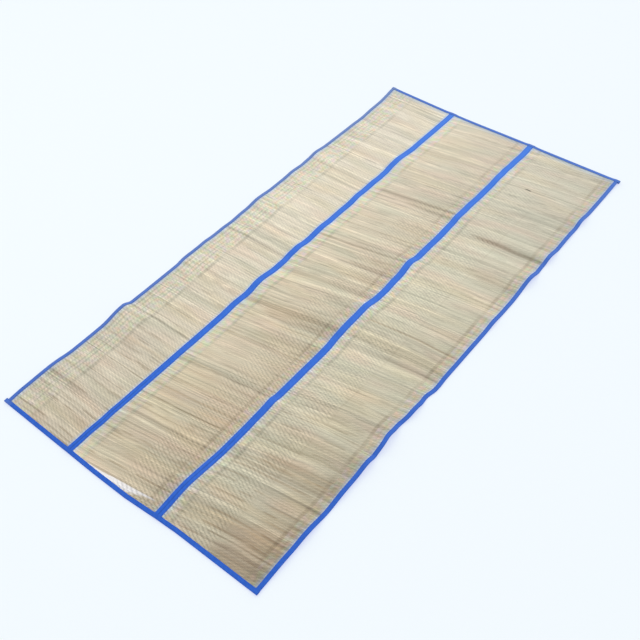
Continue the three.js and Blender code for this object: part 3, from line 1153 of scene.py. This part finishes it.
def warp_steps(strip, straws):
    """How far the straws dip under the warp, in steps that slant as each half of the strip's do."""
    start, end = strip_sides(strip)
    middle = (start + end) / 2
    twill = rows_of(strip, TWILLS)[0]
    on_right = straws.across.ramp(middle - TWILL_TURN, middle + TWILL_TURN)
    strength = on_right * (twill["right_half"] - twill["left_half"]) + twill["left_half"]
    slant = straws.number * TWILL_STEP * strength.math("SIGN")
    turn = straws.across / TWILL_REPEAT + slant + straws.own * STEP_CHANCE + straws.wander * STEP_WANDER
    return ((1 - turn.ridge()) ** 2 - MEAN_STEP) * strength.math("ABSOLUTE")


def beside_tapes(strip, straws, gone, full):
    """1 up to full millimetres from the tapes at a strip's two sides, 0 from gone ones on."""
    left, right = open_sides(strip)
    by_left = straws.across.ramp(left + gone, left + full)
    by_right = straws.across.ramp(right - gone, right - full)
    return by_left.math("MAXIMUM", by_right)


def noise_patches(rows, straws, where, colours):
    """Each row's cover, where it lies, and its colour."""
    return [
        (
            getattr(straws, row["noise"]).ramp(row["start"], row["end"]) * row["cover"] * where,
            getattr(colours, row["colour"]),
        )
        for row in rows
    ]


def straw_patches(strip, straws, dark_line, colours):
    """How far each colour covers the strip's own, and the colour, in the order they are laid on."""
    left, right = open_sides(strip)
    inner_left, inner_right = left + strip["left_band"], right - strip["right_band"]
    in_left = straws.across.ramp(inner_left, inner_left - BAND_BLUR)
    in_right = straws.across.ramp(inner_right, inner_right + BAND_BLUR)
    flecked = in_left.math("MAXIMUM", in_right) * straws.flecked
    brown = straws.warm * (0.2 + straws.rust * 0.6) + dark_line * straws.brown_odd
    # Painted blue light, bounced from the tapes onto the straw beside them
    dyed = beside_tapes(strip, straws, BOUNCE_REACH, 0) * straws.dyed
    lightened = beside_tapes(strip, straws, PALE_EDGE_GONE, PALE_EDGE_FULL) * PALE_EDGE_COVER
    shades = rows_of(strip, SHADES)[0]
    return (
        *noise_patches(PATCHES, straws, 1, colours),
        (in_left * shades["tinted"], getattr(colours, shades["tint"])),
        # Painted light: the straw turns paler towards the far end
        (straws.bleached, colours.straw_bleached),
        (brown.limited(), colours.straw_brown),
        (straws.hue.ramp(0.7, 1) * 0.1, colours.straw_green),
        *noise_patches(FLECKS, straws, flecked, colours),
        # Painted blue bounce light beside the long tapes and the far end's tape
        (dyed, colours.straw_rim),
        (straws.far_dyed, colours.straw_rim),
        (lightened, colours.straw_worn),
        # Painted highlight: the shiny straws turn whitish
        (straws.shine * 0.8, colours.straw_worn),
    )


def hold(finish, strip, straws, colour, colours):
    """Tints the held lines. Gives the new colour, and how much darker it is to be there."""
    held = 0
    taut = (straws.taut.ramp(0.35, 0.65) + 0.4) * straws.holding
    for row in rows_of(strip, HELD_LINES):
        distance = (straws.across - row["across"]).math("ABSOLUTE")
        on_line = distance.ramp(row["width"], row["width"] * 0.3) * row["dark"] * taut
        held = on_line + held
        colour = finish.mixed(on_line, colour, getattr(colours, row["tint"]))
    return colour, held


def knot_shade(straws):
    """What the knot leaves of the straw's lightness."""
    aside = ((straws.across - KNOT["across"]) / KNOT["half_width"]) ** 2
    beyond = ((straws.along - KNOT["along"]) / KNOT["half_length"]) ** 2
    return 1 - (aside + beyond).ramp(1.4, 0.3) * KNOT["dark"]


def straw_finish(strip, colours):
    """Straws of many tones, each passing over and under the warp in slanting steps."""
    finish = Finish(strip["name"] + " straw")
    straws = straw_values(finish, strip)
    dark_line, pale_line = odd_straws(finish, strip, straws)
    dip = warp_steps(strip, straws)
    # Painted shade in the valleys between the straws
    valley = (1 - straws.straw.ridge()) ** 3

    colour = getattr(colours, strip["colour"])
    for cover, patch_colour in straw_patches(strip, straws, dark_line, colours):
        colour = finish.mixed(cover, colour, patch_colour)
    colour, held = hold(finish, strip, straws, colour, colours)

    shade = 1 + straws.light
    for name, amount in CONTRASTS.items():
        shade = shade * (1 + (getattr(straws, name) - 0.5) * amount * straws.contrast)
    shade = shade * (0.95 + straws.swathes * 0.14)
    shade = shade * (1.004 - dark_line * ODD_CONTRAST + pale_line * ODD_CONTRAST)
    in_dark = (0 - straws.light).limited()
    step_shade = STEP_SHADE * straws.contrast + in_dark * STEP_SHADE_IN_DARK
    shade = shade * (1 - valley * VALLEY_SHADE) * (1 - dip * step_shade) * (1 - held)
    shade = shade * (0.94 + straws.fibre * 0.12)
    if strip["name"] == KNOT_STRIP:
        shade = shade * knot_shade(straws)
    relief = (1 - valley) * 0.5 + (1 - dip) * 0.6 + straws.fibre * 0.16 - held
    return finish.done(
        base_color=finish.scaled(colour, shade),
        roughness=0.46 + straws.fibre * 0.2,
        coat_weight=straws.shine,
        coat_roughness=0.22,
        normal=finish.bump(relief, 0.35 * MM),
    )


# ---------------------------------------------------------------- tape


# The stitches run this far in from a tape's edge, in a groove of this half width and depth
STITCH_INSET = 2.4
GROOVE_HALF_WIDTH = 0.9
GROOVE_DEPTH = 0.16

# How far in from the mat's edge the fold of a binding is round
FOLD_ROUND = 1.7

# How much wider and narrower a tape gets along its length, and how far along it goes for each
# radian of that wave
TAPE_WAVE = 0.012
TAPE_WAVE_LENGTH = 19

# How far from another tape's side the end tapes start to come down over it, and are down
OVER_TAPE_FROM = 0.2
OVER_TAPE_TO = 4.5

# How much flatter the tips of the end tapes are, and how far from the tip that starts
TIP_FLATTEN = 0.22
TIP_LENGTH = 3


def arc(centre, radius, start, end, count, flatten=1):
    """Points of a round stretch, between two angles in degrees."""
    angles = np.radians(np.linspace(start, end, count))
    return [
        (centre[0] + radius * math.cos(a), centre[1] + radius * flatten * math.sin(a)) for a in angles
    ]


def seam_section(reach):
    """Closed section of a joint's tape: a half on top and a half below, sewn together between.

    Points are (offset from the joint, height), and run round the outline."""
    edge = TAPE_THICKNESS / 2
    web = TAPE_THICKNESS / 2
    halfway = reach * 0.5
    stitch_at = reach - STITCH_INSET
    under_top_half = TAPE_TOP - TAPE_THICKNESS
    right_side = [
        (0, 0),
        (halfway, 0),
        *arc((reach - edge, edge), edge, -90, 90, 5),
        (halfway, TAPE_THICKNESS),
        (web, TAPE_THICKNESS),
        (web, under_top_half),
        (halfway, under_top_half),
        *arc((reach - edge, TAPE_TOP - edge), edge, -90, 90, 5),
        (stitch_at + GROOVE_HALF_WIDTH, TAPE_TOP + 0.03),
        (stitch_at, TAPE_TOP - GROOVE_DEPTH),
        (stitch_at - GROOVE_HALF_WIDTH, TAPE_TOP + 0.04),
        (reach * 0.4, TAPE_TOP + 0.12),
        (1.3, TAPE_TOP + 0.06),
        (0, TAPE_TOP - 0.2),
    ]
    left_side = [(-offset, height) for offset, height in right_side[-2:0:-1]]
    return right_side + left_side


def binding_section(bottom, top):
    """Closed section of tape folded over an edge, as (distance in from it, height) points."""
    edge = TAPE_THICKNESS / 2
    middle = (bottom + top) / 2
    outer = (top - bottom) / 2
    inner = outer - TAPE_THICKNESS
    inner_round = FOLD_ROUND - TAPE_THICKNESS
    halfway = BINDING_WIDTH * 0.45
    stitch_at = BINDING_WIDTH - STITCH_INSET
    inner_fold = arc((FOLD_ROUND, middle), inner_round, 90, 270, 5, inner / inner_round)
    return [
        *arc((FOLD_ROUND, middle), FOLD_ROUND, 90, 270, 9, outer / FOLD_ROUND),
        (halfway, bottom),
        *arc((BINDING_WIDTH - edge, bottom + edge), edge, -90, 90, 4),
        (halfway, bottom + TAPE_THICKNESS),
        *reversed(inner_fold),
        (halfway, top - TAPE_THICKNESS),
        *arc((BINDING_WIDTH - edge, top - edge), edge, -90, 90, 4),
        (stitch_at + GROOVE_HALF_WIDTH, top + 0.02),
        (stitch_at, top - GROOVE_DEPTH),
        (stitch_at - GROOVE_HALF_WIDTH, top + 0.03),
        (halfway, top + 0.08),
    ]


def pucker(along, across, amount):
    """How far the sewn cloth swells over its lowest places."""
    short = np.sin(along / 2.3 + np.sin(along / 31) * 2 + across * 0.25)
    long = np.sin(along / 7.1 + np.sin(along / 53) * 3 - across * 0.12)
    return amount * (0.5 + 0.28 * short + 0.22 * long)


def sweep(name, rings, attributes, material):
    """A closed piece through rings of points. The first and last ring are closed over."""
    count, size = rings.shape[:2]
    index = np.arange(count * size).reshape(count, size)
    after = np.roll(index, -1, axis=1)
    quads = np.stack([index[:-1], after[:-1], after[1:], index[1:]], axis=-1).reshape(-1, 4)
    faces = quads.tolist() + [index[0].tolist(), index[-1].tolist()]
    piece = make_sheet(name, rings.reshape(-1, 3), faces, attributes, material)
    face_outwards(piece.data, math.radians(70))
    return piece


def even_places(start, end, step):
    return np.linspace(start, end, round((end - start) / step) + 1)


def swept_along(name, line, section, inwards, sizes, material):
    """A long tape: its section swept along the mat, puckered where it is sewn on top."""
    stations = even_places(TAPE_LAYER, MAT_LENGTH - TAPE_LAYER, sizes.tape_step / MM)
    along = np.repeat(stations, len(section))
    offset, height = np.tile(np.array(section), (len(stations), 1)).T
    puffed = pucker(along, offset, sizes.pucker / MM)
    height = height + puffed * (height > STRAW_TOP + 0.1)
    offset = offset * (1 + TAPE_WAVE * np.sin(along / TAPE_WAVE_LENGTH + line["across"]))
    points = place(line["across"] + inwards * offset, along, height)
    weave = np.stack([offset, along, puffed], 1)
    return sweep(name, points.reshape(len(stations), -1, 3), {"weave": weave}, material)


def layers_under(across):
    """Top of the straw or tape that lies under a short edge's binding."""
    top = np.full(len(across), float(STRAW_THICKNESS))
    for line in LINES:
        gap = np.abs(across - line["across"]) - line["reach"] - CLEARANCE
        by_drop = STRAW_THICKNESS + TAPE_LAYER * (1 - smooth(share(gap, 0, STRAW_DROP)))
        over_tape = by_drop + TAPE_LAYER * (1 - smooth(share(gap, OVER_TAPE_FROM, OVER_TAPE_TO)))
        top = np.maximum(top, over_tape)
    return top


def end_binding(binding, sizes, material):
    """Binding of a short edge, folded over the strips' ends and the other tapes."""
    start = LINES[0]["across"] - binding["left_tail"]
    end = LINES[-1]["across"] + binding["right_tail"]
    stations = even_places(start, end, sizes.tape_step / MM)
    tops = layers_under(stations) + TAPE_LAYER
    rings = []
    for station, top in zip(stations, tops):
        distance, height = np.array(binding_section(-TAPE_LAYER, top)).T
        across = np.full(len(height), station)
        puffed = pucker(across, distance, sizes.pucker / MM)
        height = height + puffed * (height > top - TAPE_THICKNESS - 0.05)
        from_tip = min(station - start, end - station)
        flatten = TIP_FLATTEN * (1 - smooth(share(from_tip, 0, TIP_LENGTH)))
        middle = (top - TAPE_LAYER) / 2
        height = np.maximum(middle + (height - middle) * (1 - flatten), -TAPE_LAYER)
        points = place(across, binding["edge"] + binding["inwards"] * distance, height)
        weave = np.stack([distance, across, puffed], 1)
        rings.append(np.concatenate([points, weave], axis=1))
    rings = np.array(rings)
    weave = rings[:, :, 3:].reshape(-1, 3)
    return sweep(binding["name"] + "_cloth", rings[:, :, :3], {"weave": weave}, material)


# The tape's cloth at the joints and round the edges: how much painted shade darkens the groove
# down its middle near the near end, how light it is, the bindings being darker as painted shade,
# and the colour that painted light turns it towards the far end
CLOTHS = {
    "seam cloth": {"groove": 0.3, "light": 1.0, "faded": "tape_faded"},
    "binding cloth": {"groove": 0.0, "light": 0.92, "faded": "binding_faded"},
}

# Distance from one thread of the tape's cloth to the next
CLOTH_THREAD = 0.55

# The left edge's tape is rubbed paler: all of the tape to the left of this place, with a change
# that goes this far to each side of it
RUBBED_INSIDE = -430
RUBBED_FADE = 4


def tape_finish(name, colours):
    """Blue cloth: fine plain weave, painted light on its swells, random mottling, and painted light
    towards the far end.
    """
    finish = Finish(name)
    cloth = CLOTHS[name]
    offset, along, puffed = finish.parts(finish.attribute("weave"))
    sideways, lengthways, _ = finish.parts(finish.object_place())
    far = (lengthways / (MAT_LENGTH * MM) + 0.5).limited()
    cloud = finish.noise(finish.vector(offset * 0.12, along * 0.03), 1, 3)
    lint = finish.noise(finish.vector(offset * 2.2, along * 2.2), 1, 2)

    # Painted light on the swells of the puckers, with random mottling
    lightened = ((puffed - 0.12) * 2 + (cloud - 0.5) * 1.6 + 0.3).limited()
    colour = finish.mixed(lightened, colours.tape, colours.tape_swell_light_and_mottle)
    # Painted light: the tape turns lighter towards the far end
    colour = finish.mixed(far * 0.65, colour, getattr(colours, cloth["faded"]))
    rubbed = sideways.ramp((RUBBED_INSIDE + RUBBED_FADE) * MM, (RUBBED_INSIDE - RUBBED_FADE) * MM)
    colour = finish.mixed(rubbed * (far * 0.25 + 0.15), colour, colours.tape_rubbed)

    warp = offset / CLOTH_THREAD
    weft = along / CLOTH_THREAD + warp.math("FLOOR") * 0.5
    threads = warp.ridge() * weft.ridge()
    # Painted shade: darker in the groove down the seam tapes' middle near the near end, and on the
    # bindings all over
    groove = offset.math("ABSOLUTE").ramp(2.4, 0.4) * far.ramp(0.24, 0.1) * cloth["groove"]
    shade = (0.86 + threads * 0.16 + lint * 0.12) * (1 - groove) * cloth["light"]
    return finish.done(
        base_color=finish.scaled(colour, shade),
        roughness=0.72 + lint * 0.16,
        specular_ior_level=0.35,
        sheen_weight=0.05,
        sheen_roughness=0.4,
        normal=finish.bump(threads + lint * 0.5, 0.09 * MM),
    )


# ---------------------------------------------------------------- stitches


# How far from the mat's two ends the long rows of stitches start, and from its sides the others
ROWS_START = 16
END_ROWS_START = 4

# How deep the middle of a stitch lies in the tape on top, and in the tape below
STITCH_SUNK = 0.06
UNDER_STITCH_SUNK = 0.12


def stitch_template(sizes):
    """Points and faces of one stitch, along X, in millimetres."""
    bpy.ops.object.select_all(action="DESELECT")
    bpy.ops.mesh.primitive_uv_sphere_add(
        segments=5, ring_count=4, radius=0.5, rotation=(0, math.radians(90), 0)
    )
    stitch = bpy.context.object
    stitch.scale = (sizes.thread_width / MM, sizes.thread_width / MM, sizes.stitch_length / MM)
    bpy.ops.object.transform_apply(location=False, rotation=True, scale=True)
    points = mesh_points(stitch.data)
    faces = [list(face.vertices) for face in stitch.data.polygons]
    bpy.data.objects.remove(stitch)
    return {"points": points, "faces": faces}


def stitch_row(across, along, height, direction, stitch):
    """Copies of a stitch at places of the mat. direction is 0 across the mat, 1 along it."""
    points, sideways, lengthways, up = lie(across, along)
    centre = points + up * height[:, None]
    forward = (sideways, lengthways)[direction]
    aside = unit(np.cross(up, forward))
    x, y, z = stitch["points"].T
    return (
        centre[:, None]
        + forward[:, None] * x[None, :, None]
        + aside[:, None] * y[None, :, None]
        + up[:, None] * z[None, :, None]
    ).reshape(-1, 3)


def sewn(name, rows, stitch, material):
    """All the stitches of one tape as one piece."""
    points = np.concatenate(rows)
    size = len(stitch["points"])
    first = range(0, len(points), size)
    faces = [[index + start for index in face] for start in first for face in stitch["faces"]]
    piece = make_sheet(name, points, faces, {}, material)
    face_outwards(piece.data, math.radians(80))
    return piece


def long_stitches(line, offsets, sizes, stitch):
    """Rows of stitches along the mat, above and below."""
    stations = even_places(ROWS_START, MAT_LENGTH - ROWS_START, sizes.stitch_pitch / MM)
    below = np.full(len(stations), UNDER_STITCH_SUNK)
    rows = []
    for offset in offsets:
        across = np.full(len(stations), line["across"] + offset)
        puffed = pucker(stations, abs(offset), sizes.pucker / MM)
        rows.append(stitch_row(across, stations, TAPE_TOP - STITCH_SUNK + puffed, 1, stitch))
        rows.append(stitch_row(across, stations, below, 1, stitch))
    return rows


def end_stitches(binding, sizes, stitch):
    """Rows of stitches along a short edge, above and below."""
    reach = MAT_WIDTH / 2 - END_ROWS_START
    stations = even_places(-reach, reach, sizes.stitch_pitch / MM)
    distance = BINDING_WIDTH - STITCH_INSET
    along = np.full(len(stations), binding["edge"] + binding["inwards"] * distance)
    puffed = pucker(stations, distance, sizes.pucker / MM)
    top = layers_under(stations) + TAPE_LAYER - STITCH_SUNK + puffed
    bottom = np.full(len(stations), UNDER_STITCH_SUNK - TAPE_LAYER)
    return [
        stitch_row(stations, along, top, 0, stitch),
        stitch_row(stations, along, bottom, 0, stitch),
    ]


def thread_finish(name, colours):
    """Twisted blue thread."""
    finish = Finish(name)
    twist = finish.noise(finish.object_place(), 2600, 1)
    return finish.done(
        base_color=finish.scaled(finish.mixed(twist, colours.thread, colours.tape_swell_light_and_mottle), 0.9),
        roughness=0.5 + twist * 0.2,
        normal=finish.bump(twist, 0.08 * MM),
    )


# ---------------------------------------------------------------- what the frame is told


def settle(piece, stands_for=None):
    """The piece rides on the mat, and may stand for a solid."""
    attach(piece, "root")
    if stands_for:
        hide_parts(stands_for)


def sewn_on(tape, name, rows, stitch, thread):
    """Sews a tape on with its rows of stitches, and puts both on the mat."""
    stitches = sewn(name + "_stitches", rows, stitch, thread)
    settle(tape, name)
    settle(stitches)


# The joints' tapes, with the width of each before it is sewn, in metres
SEAM_TAPES = table(
    ("name", "line", "flat_width"),
    ("seam_tape_left", "left_seam", 0.043),
    ("seam_tape_right", "right_seam", 0.045),
)

# The bindings of the long edges and of the short ones. inwards is the way to the mat's middle, and
# the tails are how far the short edges' bindings stand out past the sides.
SIDE_BINDINGS = table(
    ("name", "line", "inwards"),
    ("binding_side_left", "left_edge", 1),
    ("binding_side_right", "right_edge", -1),
)
END_BINDINGS = table(
    ("name", "edge", "inwards", "left_tail", "right_tail"),
    ("binding_end_near", 0, 1, BINDING_TAIL, 0),
    ("binding_end_far", MAT_LENGTH, -1, 0, BINDING_TAIL),
)


class MAT_OT_weave_strips(bpy.types.Operator):
    """Weave the three strips of straw"""

    bl_idname = "mat.weave_strips"
    bl_label = "Weave Straw Strips"

    def execute(self, context):
        for strip in STRIPS:
            material = straw_finish(strip, context.scene.mat_colours)
            piece = woven_strip(strip, context.scene.mat_sizes, material)
            start, end = strip_sides(strip)
            settle(piece, strip["name"])
            (end - start) * MM
        return {"FINISHED"}


class MAT_OT_sew_seam_tapes(bpy.types.Operator):
    """Sew the tapes over the two joints"""

    bl_idname = "mat.sew_seam_tapes"
    bl_label = "Sew Seam Tapes"

    def execute(self, context):
        sizes, colours = context.scene.mat_sizes, context.scene.mat_colours
        cloth, thread = shared_finish("seam cloth", colours), shared_finish("sewing thread", colours)
        stitch = stitch_template(sizes)
        for tape in SEAM_TAPES:
            name, line = tape["name"], LINE[tape["line"]]
            section = seam_section(line["reach"])
            piece = swept_along(name + "_cloth", line, section, 1, sizes, cloth)
            offset = line["reach"] - STITCH_INSET
            rows = long_stitches(line, (-offset, offset), sizes, stitch)
            sewn_on(piece, name, rows, stitch, thread)
        return {"FINISHED"}


class MAT_OT_fold_side_bindings(bpy.types.Operator):
    """Fold the tapes over the two long edges"""

    bl_idname = "mat.fold_side_bindings"
    bl_label = "Fold Side Bindings"

    def execute(self, context):
        sizes, colours = context.scene.mat_sizes, context.scene.mat_colours
        cloth = shared_finish("binding cloth", colours)
        thread = shared_finish("sewing thread", colours)
        stitch = stitch_template(sizes)
        section = binding_section(0, TAPE_TOP)
        for binding in SIDE_BINDINGS:
            name, line, inwards = binding["name"], LINE[binding["line"]], binding["inwards"]
            piece = swept_along(name + "_cloth", line, section, inwards, sizes, cloth)
            offset = inwards * (BINDING_WIDTH - STITCH_INSET)
            rows = long_stitches(line, (offset,), sizes, stitch)
            sewn_on(piece, name, rows, stitch, thread)
        return {"FINISHED"}


class MAT_OT_fold_end_bindings(bpy.types.Operator):
    """Fold the tapes over the two short edges"""

    bl_idname = "mat.fold_end_bindings"
    bl_label = "Fold End Bindings"

    def execute(self, context):
        sizes, colours = context.scene.mat_sizes, context.scene.mat_colours
        cloth = shared_finish("binding cloth", colours)
        thread = shared_finish("sewing thread", colours)
        stitch = stitch_template(sizes)
        for binding in END_BINDINGS:
            piece = end_binding(binding, sizes, cloth)
            rows = end_stitches(binding, sizes, stitch)
            sewn_on(piece, binding["name"], rows, stitch, thread)
        return {"FINISHED"}


def shared_finish(name, colours):
    """A finish that several pieces use, made the first time it is asked for."""
    maker = tape_finish if name in CLOTHS else thread_finish
    return bpy.data.materials.get(name) or maker(name, colours)


# ---------------------------------------------------------------- studio


# The floor's width and how far it lies under the mat, in metres
FLOOR_SIZE = 16
FLOOR_DROP = 0.0005

# Where the wide soft light comes from, where the small lamp hangs and what it points at, and the
# colour of the light from all round
KEY_FROM = (-1.6, 3.4, 4.6)
LAMP_FROM = (-1.59, -0.14, 2.5)
LAMP_AIM = (-0.05, -0.88, 0)
LAMP_SIZE = 0.5
ROOM_COLOUR = (0.97, 0.985, 1, 1)


def floor_finish(colours):
    """Pale paper, lit from under too, so that what lies on it casts only faint shadows."""
    finish = Finish("floor paper")
    return finish.done(
        base_color=colours.floor,
        roughness=0.9,
        emission_color=colours.floor_glow,
        emission_strength=1,
    )


def aimed(location, target, roll=0):
    """Matrix of a camera or lamp that looks from a location to a target."""
    turn = (Vector(target) - Vector(location)).to_track_quat("-Z", "Y").to_matrix().to_4x4()
    return Matrix.Translation(location) @ turn @ Matrix.Rotation(roll, 4, "Z")


def lay_floor(colours):
    """The floor that the mat lies on."""
    bpy.ops.object.select_all(action="DESELECT")
    bpy.ops.mesh.primitive_plane_add(size=FLOOR_SIZE, location=(0, 0, -FLOOR_DROP))
    floor = bpy.context.object
    floor.name = "floor"
    bpy.ops.object.transform_apply(location=True)
    floor.data.materials.append(floor_finish(colours))


def set_lights(scene, studio):
    """A wide soft light, a small lamp for the shine, and light from all round."""
    sun = bpy.data.lights.new("key", "SUN")
    sun.energy = studio.key_strength
    sun.angle = math.radians(90)
    new_object("key", sun).matrix_world = aimed(KEY_FROM, (0, 0, 0))
    lamp = bpy.data.lights.new("shine", "AREA")
    lamp.size = LAMP_SIZE
    lamp.energy = studio.lamp_power
    new_object("shine", lamp).matrix_world = aimed(LAMP_FROM, LAMP_AIM)

    world = bpy.data.worlds.new("room")
    world.use_nodes = True
    background = world.node_tree.nodes["Background"]
    background.inputs["Color"].default_value = ROOM_COLOUR
    background.inputs["Strength"].default_value = studio.room_light
    scene.world = world
    scene.view_settings.view_transform = "Standard"


def set_camera(studio):
    """The camera, turned by its heading, dip and roll, at its distance from its aim."""
    flat = math.cos(studio.dip)
    look = Vector(
        (math.sin(studio.heading) * flat, math.cos(studio.heading) * flat, -math.sin(studio.dip))
    )
    lens = bpy.data.cameras.new("camera")
    lens.lens = studio.lens
    lens.sensor_width = 36
    camera = new_object("camera", lens)
    aim = Vector(studio.aim)
    camera.matrix_world = aimed(aim - look * studio.distance, aim, studio.roll)
    bpy.context.scene.camera = camera


class MAT_OT_lay_out_studio(bpy.types.Operator):
    """Lay the floor, and set up the lights and the camera"""

    bl_idname = "mat.lay_out_studio"
    bl_label = "Lay Out Studio"

    def execute(self, context):
        lay_floor(context.scene.mat_colours)
        set_lights(context.scene, context.scene.mat_studio)
        set_camera(context.scene.mat_studio)
        return {"FINISHED"}


class MAT_PT_sidebar(bpy.types.Panel):
    """The steps of making the mat"""

    bl_label = "Sleeping Mat"
    bl_idname = "MAT_PT_sidebar"
    bl_space_type = "VIEW_3D"
    bl_region_type = "UI"
    bl_category = "Sleeping Mat"

    def draw(self, context):
        scene = context.scene
        for group in (scene.mat_sizes, scene.mat_colours, scene.mat_studio):
            box = self.layout.box()
            for name in group.bl_rna.properties.keys():
                if name not in ("rna_type", "name"):
                    box.prop(group, name)
        for step in STEPS:
            self.layout.operator(step.bl_idname)


STEPS = (
    MAT_OT_lay_out_studio,
    MAT_OT_weave_strips,
    MAT_OT_sew_seam_tapes,
    MAT_OT_fold_side_bindings,
    MAT_OT_fold_end_bindings,
)
CLASSES = (MatSizes, MatColours, StudioSettings, *STEPS, MAT_PT_sidebar)


def register():
    for made in CLASSES:
        bpy.utils.register_class(made)
    bpy.types.Scene.mat_sizes = bpy.props.PointerProperty(type=MatSizes)
    bpy.types.Scene.mat_colours = bpy.props.PointerProperty(type=MatColours)
    bpy.types.Scene.mat_studio = bpy.props.PointerProperty(type=StudioSettings)


def unregister():
    del bpy.types.Scene.mat_studio
    del bpy.types.Scene.mat_colours
    del bpy.types.Scene.mat_sizes
    for made in reversed(CLASSES):
        bpy.utils.unregister_class(made)


def main():
    register()
    bpy.ops.mat.lay_out_studio()
    bpy.ops.mat.weave_strips()
    bpy.ops.mat.sew_seam_tapes()
    bpy.ops.mat.fold_side_bindings()
    bpy.ops.mat.fold_end_bindings()


if __name__ == "__main__":
    main()
